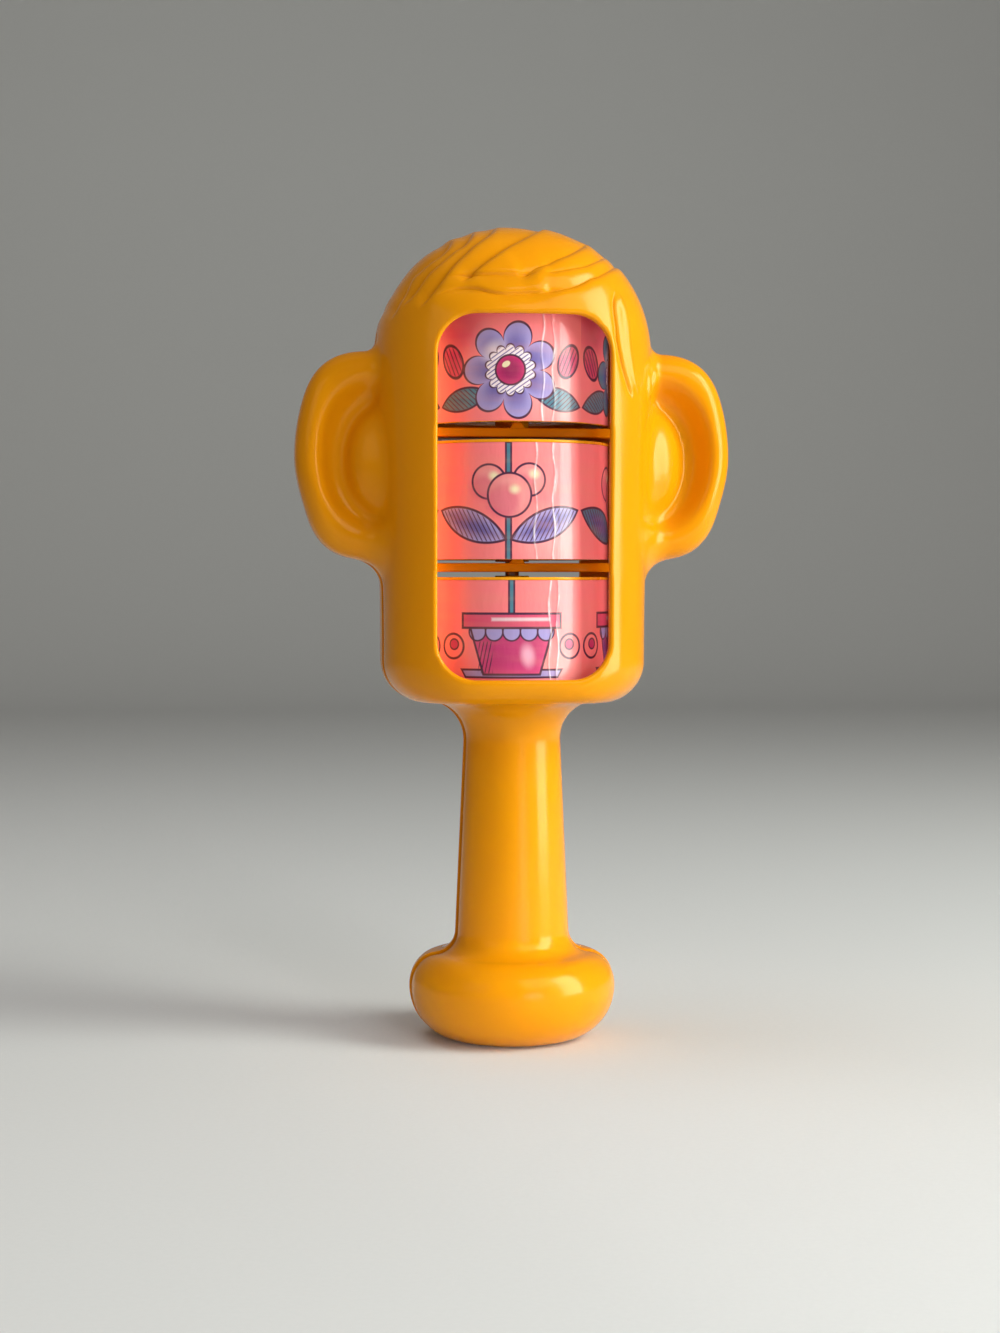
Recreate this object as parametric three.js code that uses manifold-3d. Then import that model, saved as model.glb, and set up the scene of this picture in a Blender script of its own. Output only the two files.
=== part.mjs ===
// Rotating puzzle rattle: a head-shaped case on a handle, with picture drums turning on an axle.
// Millimetres, +Z up. The base of the knob lies on z = 0 and the front window faces -Y.

import * as THREE from 'three';
import { mergeVertices } from 'three/addons/utils/BufferGeometryUtils.js';
import Module from 'manifold-3d';

const wasm = await Module();
wasm.setup();

// Driving dimensions: the drums and the axle they turn on

const drumNames = ['lower', 'middle', 'upper'];
const drumRadius = 21;
const drumHeight = 25;
const drumWall = 1.9;
const drumTopThickness = 1.6;
const drumRim = 0.6;
const labelRecess = 0.4;
const labelThickness = 0.3;
const hubWall = 1.5;
const drumBossRadius = 3.7;
const drumBossRise = 0.3;
const lidThickness = 1.5;
const lidRecess = 1.5;
const lidLedge = 0.9;
const axleRadius = 1.5;
const axleSocket = 6;
const beadRadius = 2.5;
const beadsPerDrum = 3;
const beadSpread = THREE.MathUtils.degToRad(105);
const beadTurn = THREE.MathUtils.degToRad(35);

// Driving dimensions: the partitions between the drums

const partitionThickness = 1.9;
const partitionHalfDepth = 10;
const slitAbovePartition = 0.7;
const slitBelowPartition = 1.1;
const nubBase = 3.7;
const nubTop = 1.7;
const nubHeight = 1.2;
const nubLength = 3;

// Driving dimensions: the knob and the handle

const footRadius = 12;
const knobRadius = 22.5;
const knobWidestHeight = 11.5;
const knobShoulderRadius = 16.5;
const knobShoulderHeight = 18.6;
const handleFootRadius = 12.5;
const handleFootHeight = 22.5;
const handleNeckRadius = 10.7;
const neckFlare = 10;
const undersideFullness = 0.58;
const shoulderFullness = 0.6;
const headBottom = 72.8;

// Driving dimensions: the head case

const wall = 2;
const floorThickness = 1.8;
const drumFrontRoom = 1;
const drumSideRoom = 5.3;
const jawCorner = 4.5;
const jawSideCorner = 9.5;
const jawRise = 15;
const chamberCorner = 1.8;
const browSpread = 1.6;
const browSwell = 2;
const browDrop = 11.7;
const domeRise = 18.3;
const domeFullness = 2.2;
const jawFrontSquareness = 2.7;
const jawRearSquareness = 4;
const domeFrontSquareness = 2.4;
const domeRearSquareness = 2.9;
const topBossRadius = 4.2;

// Driving dimensions: the windows

const windowHalfWidth = 18.1;
const windowCorner = 8;
const sillRise = 4.3;
const lintelDrop = 3.1;

// Driving dimensions: the ears

const earProjection = 17.2;
const earLift = 9.8;
const earHalfHeight = 22.3;
const earHalfDepth = 7.5;
const earRound = 4.5;
const earFullness = 2.8;
const earLowerTaper = 0.08;
const earUpperTaper = 0.04;
const earRimWidth = 5;
const earRimHeight = 6.5;
const earBowlHalfWidth = 11;
const earBowlDepth = 6.5;
const earBowlRise = 1;
const earLobeSink = 1.4;
const earLobeProjection = 6.9;
const earLobeDrop = 1.5;
const earLobeHalfHeight = 13;
const earLobeHalfDepth = 8.6;
const earLobeLead = 1;

// Driving dimensions: the parting line and its locating pegs

const partingGap = 0.3;
const pegRadius = 1.1;
const pegLength = 2.5;
const pegBossRadius = 2.2;
const pegBossLength = 6;
const pegBossSink = 0.6;
const headPegInset = 12;

// Clearances

const runningClearance = 0.3;
const seatGap = 0.3;
const fitGap = 0.2;
const glueGap = 0.05;

// How finely round forms are faceted

const roundSegments = 32;
const headSegments = 52;
const chamberSegments = 32;
const smallSegments = 12;
const earSegments = 20;
const lobeSegments = 18;
const lobeRings = 12;
const beadSegments = 10;
const beadRings = 6;

// Levels that follow from the driving dimensions

const chamberFloor = headBottom + floorThickness;
const partitionSpacing = slitBelowPartition + partitionThickness + slitAbovePartition;
const drumPitch = drumHeight + partitionSpacing;
const lowestDrum = chamberFloor + slitAbovePartition;
const drumBottoms = drumNames.map((name, index) => lowestDrum + index * drumPitch);
const stackTop = lowestDrum + (drumNames.length - 1) * drumPitch + drumHeight;
const headTop = stackTop + domeRise;
const handleNeckHeight = headBottom - neckFlare;
const browHeight = stackTop - browDrop;
const jawHalfWidth = drumRadius + drumSideRoom + wall;
const browHalfWidth = jawHalfWidth + browSpread;
const jawHalfDepth = drumRadius + drumFrontRoom + wall;
const browHalfDepth = jawHalfDepth + browSwell;
const windowBottom = chamberFloor + sillRise;
const windowTop = stackTop - lintelDrop;
const earCentre = lowestDrum + drumPitch + drumHeight / 2 + earLift;
const earReach = browHalfWidth + earProjection;
const topBossBottom = stackTop + drumBossRise + seatGap;
const axleBottom = headBottom - axleSocket;
const axleTop = topBossBottom + axleSocket;
const hubRadius = axleRadius + runningClearance + hubWall;
const recessRadius = drumRadius - labelRecess;
const drumInnerRadius = recessRadius - drumWall;
const lidSeatRadius = drumInnerRadius + lidLedge;
const lidTop = lidRecess + lidThickness;

// Materials

function plastic(color, roughness) {
  return new THREE.MeshStandardMaterial({ color, roughness, metalness: 0 });
}

const casePlastic = plastic(0xf2a20c, 0.22);
const drumPlastic = plastic(0xefa418, 0.3);
const labelPrint = plastic(0xf07a8e, 0.25);
const beadPlastic = plastic(0xf4efe2, 0.4);
const axleSteel = new THREE.MeshStandardMaterial({ color: 0x8a8a8c, roughness: 0.35, metalness: 1 });

// Turns a closed geometry into a solid that can be joined and cut.
function solidOf(geometry) {
  const bare = geometry.clone();
  bare.deleteAttribute('normal');
  bare.deleteAttribute('uv');
  const merged = mergeVertices(bare);
  const corners = merged.index.array;
  const triangles = [];
  for (let i = 0; i < corners.length; i += 3) {
    const [a, b, c] = corners.slice(i, i + 3);
    if (a !== b && b !== c && c !== a) triangles.push(a, b, c);
  }
  const vertProperties = new Float32Array(merged.attributes.position.array);
  const triVerts = new Uint32Array(triangles);
  return new wasm.Manifold(new wasm.Mesh({ numProp: 3, vertProperties, triVerts }));
}

// Turns a solid into a named mesh with flat facets.
function meshOf(name, solid, material) {
  const result = solid.getMesh();
  const geometry = new THREE.BufferGeometry();
  geometry.setAttribute('position', new THREE.BufferAttribute(result.vertProperties, 3));
  geometry.setIndex(new THREE.BufferAttribute(result.triVerts, 1));
  geometry.computeVertexNormals();
  const mesh = new THREE.Mesh(geometry, material);
  mesh.name = name;
  return mesh;
}

function join(solids) {
  return solids.reduce((sum, solid) => sum.add(solid));
}

// Revolves a profile of [radius, height] pairs about the vertical axis.
function revolve(profile, segments = roundSegments) {
  const points = profile.map(([radius, height]) => new THREE.Vector2(radius, height));
  return solidOf(new THREE.LatheGeometry(points, segments).rotateX(Math.PI / 2));
}

function uprightCylinder(radius, bottom, top, segments = smallSegments) {
  return revolve([[0, bottom], [radius, bottom], [radius, top], [0, top]], segments);
}

// A cylinder along Y between two depths.
function cylinderAcross(radius, x, z, front, back) {
  const length = back - front;
  const geometry = new THREE.CylinderGeometry(radius, radius, length, smallSegments);
  return solidOf(geometry.translate(x, front + length / 2, z));
}

function block(low, high) {
  const size = new THREE.Vector3().subVectors(high, low);
  const centre = new THREE.Vector3().addVectors(low, high).multiplyScalar(0.5);
  return solidOf(new THREE.BoxGeometry(size.x, size.y, size.z).translate(centre.x, centre.y, centre.z));
}

function ellipsoid(centre, halfSizes) {
  const ball = new THREE.SphereGeometry(1, lobeSegments, lobeRings);
  const geometry = ball.scale(halfSizes.x, halfSizes.y, halfSizes.z);
  return solidOf(geometry.translate(centre.x, centre.y, centre.z));
}

// Extrudes an outline drawn in X and Z along Y, from the front depth to the back depth.
function extrudeAcross(shape, front, back, round = 0, roundSteps = 3) {
  const geometry = new THREE.ExtrudeGeometry(shape, {
    depth: back - front - 2 * round,
    bevelEnabled: round > 0,
    bevelThickness: round,
    bevelSize: round,
    bevelOffset: -round,
    bevelSegments: roundSteps,
    curveSegments: 6,
  });
  // Drawing plane XY becomes XZ, and the extrusion runs towards -Y.
  return solidOf(geometry.rotateX(Math.PI / 2).translate(0, back - round, 0));
}

// Skins a closed surface over rings of equal point counts, with a fan at each end.
function loft(rings, bottomPoint, topPoint) {
  const count = rings[0].length;
  const points = [...rings.flat(), bottomPoint, topPoint];
  const bottomIndex = points.length - 2;
  const topIndex = points.length - 1;
  const lastRing = (rings.length - 1) * count;
  const indices = [];
  for (let i = 0; i < count; i += 1) {
    const next = (i + 1) % count;
    indices.push(bottomIndex, next, i);
    indices.push(topIndex, lastRing + i, lastRing + next);
    for (let level = 0; level < lastRing; level += count) {
      indices.push(level + i, level + next, level + count + next);
      indices.push(level + i, level + count + next, level + count + i);
    }
  }
  const geometry = new THREE.BufferGeometry().setFromPoints(points);
  geometry.setIndex(indices);
  return solidOf(geometry);
}

// Half sizes of the head at a height, drawn in by an inset, and how square its front and rear are.
function headSection(z, inset) {
  const growth = THREE.MathUtils.smoothstep(z, headBottom + jawRise, browHeight);
  const domeShare = Math.max(0, (z - browHeight) / (headTop - inset - browHeight));
  const closing = (1 - domeShare ** domeFullness) ** (1 / domeFullness);
  return {
    halfWidth: (jawHalfWidth + browSpread * growth - inset) * closing,
    halfDepth: (jawHalfDepth + browSwell * growth - inset) * closing,
    frontSquareness: THREE.MathUtils.lerp(jawFrontSquareness, domeFrontSquareness, growth),
    rearSquareness: THREE.MathUtils.lerp(jawRearSquareness, domeRearSquareness, growth),
  };
}

// A point on the head's outline at a height: a superellipse that is squarer behind than in front.
function headPoint(angle, z, inset, edgeInset) {
  const { halfWidth, halfDepth, frontSquareness, rearSquareness } = headSection(z, inset);
  const across = Math.cos(angle);
  const along = Math.sin(angle);
  const power = 2 / (along < 0 ? frontSquareness : rearSquareness);
  const x = Math.sign(across) * Math.abs(across) ** power * (halfWidth - edgeInset);
  const y = Math.sign(along) * Math.abs(along) ** power * (halfDepth - edgeInset);
  return new THREE.Vector3(x, y, z);
}

// One ring of points, made by a function of the angle.
function ringOf(segments, pointAt) {
  return Array.from({ length: segments }, (unused, index) => pointAt((index / segments) * 2 * Math.PI));
}

// The head's smooth volume, or the chamber inside it when drawn in by the wall. Its bottom edge is
// rounder at the sides than in front and behind.
function headVolume({ inset, bottom, corner, sideCorner, segments, cornerSteps, sideSteps, domeSteps }) {
  const cornerAt = (angle) => THREE.MathUtils.lerp(corner, sideCorner, Math.cos(angle) ** 2);
  const rings = [];
  for (let step = 0; step < cornerSteps; step += 1) {
    const turn = (step / cornerSteps) * (Math.PI / 2);
    rings.push(ringOf(segments, (angle) => {
      const radius = cornerAt(angle);
      return headPoint(angle, bottom + radius * (1 - Math.cos(turn)), inset, radius * (1 - Math.sin(turn)));
    }));
  }
  for (let step = 0; step <= sideSteps; step += 1) {
    rings.push(ringOf(segments, (angle) => {
      const z = THREE.MathUtils.lerp(bottom + cornerAt(angle), browHeight, step / sideSteps);
      return headPoint(angle, z, inset, 0);
    }));
  }
  const domeHeight = headTop - inset - browHeight;
  for (let step = 1; step < domeSteps; step += 1) {
    const rise = domeHeight * Math.sin((step / domeSteps) * (Math.PI / 2));
    rings.push(ringOf(segments, (angle) => headPoint(angle, browHeight + rise, inset, 0)));
  }
  const bottomPoint = new THREE.Vector3(0, 0, bottom);
  const topPoint = new THREE.Vector3(0, 0, headTop - inset);
  return loft(rings, bottomPoint, topPoint);
}

// The side of the knob and handle as a path of radius and height, up to the neck.
function handleSide(inset) {
  const foot = footRadius - inset / 2;
  const widest = knobRadius - inset;
  const shoulder = knobShoulderRadius - inset;
  const shoulderHeight = knobShoulderHeight - inset;
  const side = new THREE.Path();
  side.moveTo(0, inset);
  side.lineTo(foot, inset);
  side.bezierCurveTo(
    THREE.MathUtils.lerp(foot, widest, undersideFullness), inset,
    widest, THREE.MathUtils.lerp(knobWidestHeight, inset, undersideFullness),
    widest, knobWidestHeight,
  );
  side.bezierCurveTo(
    widest, THREE.MathUtils.lerp(knobWidestHeight, shoulderHeight, shoulderFullness),
    THREE.MathUtils.lerp(shoulder, widest, shoulderFullness), shoulderHeight,
    shoulder, shoulderHeight,
  );
  side.quadraticCurveTo(handleFootRadius - inset, shoulderHeight, handleFootRadius - inset, handleFootHeight);
  side.lineTo(handleNeckRadius - inset, handleNeckHeight);
  return side;
}

// Revolves a side that has been closed across the axis at its top.
function revolveSide(side, top, curveSteps) {
  side.lineTo(0, top);
  return revolve(side.getPoints(curveSteps).map((point) => [point.x, point.y]));
}

// The knob and handle, flaring out in a quarter round to meet the head's underside.
function handleBody() {
  const side = handleSide(0);
  side.absarc(handleNeckRadius + neckFlare, handleNeckHeight, neckFlare, Math.PI, Math.PI / 2, true);
  side.lineTo(handleNeckRadius + neckFlare, headBottom + floorThickness / 2);
  return revolveSide(side, headBottom + floorThickness / 2, 5);
}

// The opening's outline: a tall rectangle with round corners, in X and Z.
function windowOutline() {
  const shape = new THREE.Shape();
  const right = windowHalfWidth;
  const corner = windowCorner;
  shape.moveTo(right - corner, windowBottom);
  shape.absarc(right - corner, windowBottom + corner, corner, -Math.PI / 2, 0);
  shape.absarc(right - corner, windowTop - corner, corner, 0, Math.PI / 2);
  shape.absarc(corner - right, windowTop - corner, corner, Math.PI / 2, Math.PI);
  shape.absarc(corner - right, windowBottom + corner, corner, Math.PI, 1.5 * Math.PI);
  return shape;
}

// The right ear's outline in X and Z: a full round that tapers down and, less, up, and runs back
// inside the head, drawn in by an inset.
function earOutline(inset) {
  const root = jawHalfWidth - wall - earRound;
  const power = 2 / earFullness;
  const points = [];
  for (let step = 0; step <= earSegments; step += 1) {
    const angle = (step / earSegments - 0.5) * Math.PI;
    const rise = Math.sign(angle) * Math.abs(Math.sin(angle)) ** power;
    const lower = earLowerTaper * THREE.MathUtils.smoothstep(-rise, 0, 1);
    const upper = earUpperTaper * THREE.MathUtils.smoothstep(rise, 0, 1);
    const out = Math.max(0, Math.cos(angle)) ** power * (1 - lower - upper);
    points.push(new THREE.Vector2(
      browHalfWidth + (earProjection - inset) * out,
      earCentre + (earHalfHeight - inset) * rise,
    ));
  }
  const shape = new THREE.Shape();
  shape.moveTo(root, points[0].y);
  points.forEach((point) => shape.lineTo(point.x, point.y));
  shape.lineTo(root, points[earSegments].y);
  shape.closePath();
  return shape;
}

// The right ear: a rounded flap with a scooped bowl in front and a lobe beside the head.
function rightEar() {
  const flap = extrudeAcross(earOutline(0), -earHalfDepth, earHalfDepth, earRound);
  const bowl = ellipsoid(
    new THREE.Vector3(earReach - earRimWidth - earBowlHalfWidth, -earHalfDepth - earBowlRise, earCentre),
    new THREE.Vector3(earBowlHalfWidth, earBowlDepth + earBowlRise, earHalfHeight - earRimHeight),
  );
  const lobe = ellipsoid(
    new THREE.Vector3(browHalfWidth - earLobeSink, -earLobeLead, earCentre - earLobeDrop),
    new THREE.Vector3(earLobeProjection + earLobeSink, earLobeHalfDepth, earLobeHalfHeight),
  );
  return flap.subtract(bowl).add(lobe);
}

// The hollow behind the right ear's bowl.
function rightEarHollow() {
  return extrudeAcross(earOutline(wall + earRound / 2), 0, earHalfDepth - wall);
}

function withMirror(solid) {
  return solid.add(solid.mirror([1, 0, 0]));
}

// A partition between two drums, with the click nub on its top.
function partition(bottom, headBody) {
  const top = bottom + partitionThickness;
  const plate = block(
    new THREE.Vector3(-browHalfWidth, -partitionHalfDepth, bottom),
    new THREE.Vector3(browHalfWidth, partitionHalfDepth, top),
  );
  const nubSide = new THREE.Shape();
  nubSide.moveTo(-nubBase / 2, top - fitGap);
  nubSide.lineTo(nubBase / 2, top - fitGap);
  nubSide.lineTo(nubBase / 2, top);
  nubSide.lineTo(nubTop / 2, top + nubHeight);
  nubSide.lineTo(-nubTop / 2, top + nubHeight);
  nubSide.lineTo(-nubBase / 2, top);
  const nub = extrudeAcross(nubSide, -partitionHalfDepth, nubLength - partitionHalfDepth);
  return plate.intersect(headBody).add(nub);
}

// Where the locating pegs stand on the parting plane.
function pegPlaces() {
  const places = [];
  for (const z of [windowBottom + headPegInset, windowTop - headPegInset]) {
    places.push({ x: headSection(z, wall).halfWidth - pegBossRadius + pegBossSink, z });
  }
  const handleMiddle = (handleFootHeight + handleNeckHeight) / 2;
  const handleMiddleRadius = (handleFootRadius + handleNeckRadius) / 2;
  places.push({ x: handleMiddleRadius - wall - pegBossRadius + pegBossSink, z: handleMiddle });
  return places.flatMap(({ x, z }) => [{ x, z }, { x: -x, z }]);
}

// The whole case before it is parted into its two mouldings.
function caseBody() {
  const headBody = headVolume({
    inset: 0,
    bottom: headBottom,
    corner: jawCorner,
    sideCorner: jawSideCorner,
    segments: headSegments,
    cornerSteps: 4,
    sideSteps: 4,
    domeSteps: 8,
  });
  const chamber = headVolume({
    inset: wall,
    bottom: chamberFloor,
    corner: chamberCorner,
    sideCorner: jawSideCorner - wall,
    segments: chamberSegments,
    cornerSteps: 4,
    sideSteps: 3,
    domeSteps: 6,
  });
  const outside = join([headBody, handleBody(), withMirror(rightEar())]);
  const handleHollow = revolveSide(handleSide(wall), handleNeckHeight, 3);
  const windows = extrudeAcross(windowOutline(), -2 * browHalfDepth, 2 * browHalfDepth);
  const hollow = join([chamber, handleHollow, windows, withMirror(rightEarHollow()).subtract(headBody)]);

  const partitions = drumBottoms.slice(1).map(
    (drumBottom) => partition(drumBottom - slitAbovePartition - partitionThickness, headBody),
  );
  const topBoss = uprightCylinder(topBossRadius, topBossBottom, headTop).intersect(headBody);
  const pegBosses = pegPlaces().map(
    ({ x, z }) => cylinderAcross(pegBossRadius, x, z, -pegBossLength, pegBossLength),
  );
  const axleBore = uprightCylinder(axleRadius + fitGap, axleBottom - fitGap, axleTop + fitGap);
  return join([outside.subtract(hollow), ...partitions, topBoss, ...pegBosses]).subtract(axleBore);
}

// Parts the case at the plane through the axle: pegs stay in front, sockets in the rear.
function partedCase() {
  const body = caseBody();
  const far = 2 * (headTop + earReach);
  const frontSpace = block(new THREE.Vector3(-far, -far, -far), new THREE.Vector3(far, -partingGap / 2, far));
  const rearSpace = block(new THREE.Vector3(-far, partingGap / 2, -far), new THREE.Vector3(far, far, far));
  const pegs = pegPlaces().map(({ x, z }) => cylinderAcross(pegRadius, x, z, -pegLength, pegLength));
  const sockets = pegPlaces().map(
    ({ x, z }) => cylinderAcross(pegRadius + fitGap, x, z, 0, pegLength + fitGap),
  );
  return {
    front: join([body.intersect(frontSpace), ...pegs]),
    rear: body.intersect(rearSpace).subtract(join(sockets)),
  };
}

// A drum's cup: the printed wall's backing, the top and the hub that turns on the axle.
function drumCup() {
  const bore = axleRadius + runningClearance;
  const hubBottom = lidTop + fitGap;
  const ceiling = drumHeight - drumTopThickness;
  return revolve([
    [lidSeatRadius + fitGap, 0],
    [recessRadius, 0],
    [recessRadius, drumHeight - drumRim],
    [drumRadius, drumHeight - drumRim],
    [drumRadius, drumHeight],
    [drumBossRadius, drumHeight],
    [drumBossRadius, drumHeight + drumBossRise],
    [bore, drumHeight + drumBossRise],
    [bore, hubBottom],
    [hubRadius, hubBottom],
    [hubRadius, ceiling],
    [drumInnerRadius, ceiling],
    [drumInnerRadius, lidTop + fitGap],
    [lidSeatRadius + fitGap, lidTop + fitGap],
    [lidSeatRadius + fitGap, 0],
  ]);
}

// A drum's lid: a disc set up inside the cup's lower edge, with a boss that bears on the plate below.
function drumLid() {
  const bore = axleRadius + runningClearance;
  const bossBottom = seatGap - slitAbovePartition;
  return revolve([
    [bore, bossBottom],
    [drumBossRadius, bossBottom],
    [drumBossRadius, lidRecess],
    [lidSeatRadius, lidRecess],
    [lidSeatRadius, lidTop],
    [bore, lidTop],
    [bore, bossBottom],
  ]);
}

// A drum's picture label: a thin sleeve round the cup, from its lower edge up to the rim.
function drumLabel() {
  const inner = recessRadius + glueGap;
  const bottom = glueGap;
  const top = drumHeight - drumRim - glueGap;
  const outer = inner + labelThickness;
  return revolve([[inner, bottom], [outer, bottom], [outer, top], [inner, top], [inner, bottom]]);
}

// One loose bead on the lid, on the circle midway between the hub and the wall.
function bead(name, angle) {
  const ball = new THREE.SphereGeometry(beadRadius, beadSegments, beadRings);
  const mesh = meshOf(name, solidOf(ball), beadPlastic);
  const circle = (hubRadius + drumInnerRadius) / 2;
  const height = lidTop + fitGap + beadRadius;
  mesh.position.set(circle * Math.cos(angle), circle * Math.sin(angle), height);
  return mesh;
}

// A whole drum in a group of its own, standing at its height on the axle.
function drum(name, index) {
  const group = new THREE.Group();
  group.position.z = drumBottoms[index];
  group.add(meshOf(`${name}_drum_cup`, drumCup(), drumPlastic));
  group.add(meshOf(`${name}_drum_lid`, drumLid(), drumPlastic));
  group.add(meshOf(`${name}_drum_label`, drumLabel(), labelPrint));
  for (let count = 0; count < beadsPerDrum; count += 1) {
    group.add(bead(`${name}_drum_bead_${count + 1}`, count * beadSpread + (index + 1) * beadTurn));
  }
  return group;
}

const rattle = new THREE.Group();
const parted = partedCase();
rattle.add(meshOf('front_shell', parted.front, casePlastic));
rattle.add(meshOf('rear_shell', parted.rear, casePlastic));
rattle.add(meshOf('axle', uprightCylinder(axleRadius, axleBottom, axleTop), axleSteel));
drumNames.forEach((name, index) => rattle.add(drum(name, index)));

export default rattle;
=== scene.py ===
"""Looks of the rotating puzzle rattle, built around its packed construction model."""

import logging
import math
from collections.abc import Callable, Iterable
from dataclasses import dataclass
from enum import Enum

import bmesh
import bpy
import numpy as np
from mathutils import Matrix, Vector

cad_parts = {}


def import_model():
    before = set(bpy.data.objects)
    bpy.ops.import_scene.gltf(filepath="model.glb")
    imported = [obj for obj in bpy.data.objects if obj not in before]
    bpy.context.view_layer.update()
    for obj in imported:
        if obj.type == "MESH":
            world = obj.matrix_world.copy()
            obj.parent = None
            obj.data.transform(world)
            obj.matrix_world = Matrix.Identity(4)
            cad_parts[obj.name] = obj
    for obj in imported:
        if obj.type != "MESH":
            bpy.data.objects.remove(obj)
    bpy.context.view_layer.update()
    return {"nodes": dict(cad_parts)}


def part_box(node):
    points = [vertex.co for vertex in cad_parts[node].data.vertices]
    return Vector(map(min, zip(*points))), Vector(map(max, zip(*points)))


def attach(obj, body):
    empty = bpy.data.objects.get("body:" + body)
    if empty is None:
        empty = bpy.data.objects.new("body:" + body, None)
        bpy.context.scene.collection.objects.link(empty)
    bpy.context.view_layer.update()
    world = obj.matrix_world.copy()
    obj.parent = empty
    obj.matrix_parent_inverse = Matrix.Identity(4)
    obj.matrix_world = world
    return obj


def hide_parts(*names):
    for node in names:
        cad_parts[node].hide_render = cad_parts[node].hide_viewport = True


LOG = logging.getLogger("rattle")
MM = 0.001
PICTURE_WIDTH = 1000
PICTURE_HEIGHT = 1333
SMOOTH_BELOW = math.radians(40.0)
RING_EDGE_ABOVE = math.radians(50.0)
DRUM_BOSS_RISE = 0.3

Array = np.ndarray
Spot = tuple[float, float]
Place = tuple[float, float, float]
Colour = tuple[float, float, float]
Shape = bmesh.types.BMesh
Socket = bpy.types.NodeSocket
Material = bpy.types.Material


class Body(Enum):
    """Bodies of the construction model that pieces ride on."""

    HOUSING = "housing"
    LOWER = "lower_drum"
    MIDDLE = "middle_drum"
    UPPER = "upper_drum"
    LOWER_BEADS = "lower_beads"
    MIDDLE_BEADS = "middle_beads"
    UPPER_BEADS = "upper_beads"


class Level(Enum):
    """The drums, from the neck up."""

    LOWER = "lower"
    MIDDLE = "middle"
    UPPER = "upper"

    @property
    def body(self) -> Body:
        """Body that the drum on this level is."""
        return Body[self.name]

    @property
    def beads(self) -> Body:
        """Body that the loose beads on this level are."""
        return Body[f"{self.name}_BEADS"]


def ease(share: Array) -> Array:
    """Smooth step from 0 to 1, flat at both ends."""
    held = np.clip(share, 0.0, 1.0)
    return held * held * (3.0 - 2.0 * held)


def fillet_join(first: Array, second: Array, radius: float | Array) -> Array:
    """Distance to two forms joined with a hollow fillet of that radius."""
    corner = np.hypot(np.maximum(radius - first, 0.0), np.maximum(radius - second, 0.0))
    return np.maximum(radius, np.minimum(first, second)) - corner


def round_meet(first: Array, second: Array, radius: float | Array) -> Array:
    """Distance to what two forms share, with a rounded edge of that radius."""
    corner = np.hypot(np.maximum(radius + first, 0.0), np.maximum(radius + second, 0.0))
    return np.minimum(-radius, np.maximum(first, second)) + corner


def ray_distance(value: Array, reach: Array) -> Array:
    """Distance to a form along the ray from its middle.

    Args:
        value: The form's own measure, 1 on its surface.
        reach: Distance of the point from the form's middle.

    Returns:
        Distance in the units of reach, below 0 inside.
    """
    return reach - reach / np.maximum(value, 1e-4)


def ellipsoid(points: Array, centre: Place, halves: Place) -> Array:
    """Distance to an ellipsoid.

    Args:
        points: Places to measure from.
        centre: The ellipsoid's middle.
        halves: Its half sizes.

    Returns:
        Distance of each place, below 0 inside.
    """
    offset = points - np.array(centre)
    value = np.linalg.norm(offset / np.array(halves), axis=1)
    return ray_distance(value, np.linalg.norm(offset, axis=1))


def new_object(name: str, mesh: bpy.types.Mesh) -> bpy.types.Object:
    """Put a mesh in the scene under a name.

    Args:
        name: Name of the object.
        mesh: Its mesh.

    Returns:
        The object.
    """
    piece = bpy.data.objects.new(name, mesh)
    bpy.context.scene.collection.objects.link(piece)
    return piece


def mesh_from(name: str, shape: Shape) -> bpy.types.Mesh:
    """Turn a finished bmesh into a mesh and free it.

    Args:
        name: Name of the mesh.
        shape: The finished bmesh.

    Returns:
        The mesh.
    """
    mesh = bpy.data.meshes.new(name)
    shape.to_mesh(mesh)
    shape.free()
    return mesh


def stretch(shape: Shape, verts: Iterable, size: Place) -> None:
    """Scale vertices by a size in millimetres along each axis."""
    bmesh.ops.scale(shape, vec=Vector(size) * MM, verts=verts)


def move(shape: Shape, verts: Iterable, shift: Place) -> None:
    """Move vertices by a shift in millimetres along each axis."""
    bmesh.ops.translate(shape, vec=Vector(shift) * MM, verts=verts)


def round_edges(shape: Shape, edges: list, radius: float, steps: int = 3) -> None:
    """Round edges of a bmesh by a radius in millimetres."""
    bmesh.ops.bevel(shape, geom=edges, offset=radius * MM, offset_type="OFFSET", affect="EDGES",
                    segments=steps, profile=0.5, material=-1)


def shade(shape: Shape) -> None:
    """Shade a bmesh smooth, with its sharp edges kept.

    Args:
        shape: The bmesh.
    """
    for face in shape.faces:
        face.smooth = True
    for edge in shape.edges:
        edge.smooth = len(edge.link_faces) != 2 or edge.calc_face_angle(0.0) < SMOOTH_BELOW


def srgb(code: int) -> Colour:
    """Linear colour of a hexadecimal screen colour."""
    parts = [(code >> shift & 255) / 255.0 for shift in (16, 8, 0)]
    return tuple(part / 12.92 if part < 0.04045 else ((part + 0.055) / 1.055) ** 2.4 for part in parts)


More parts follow.
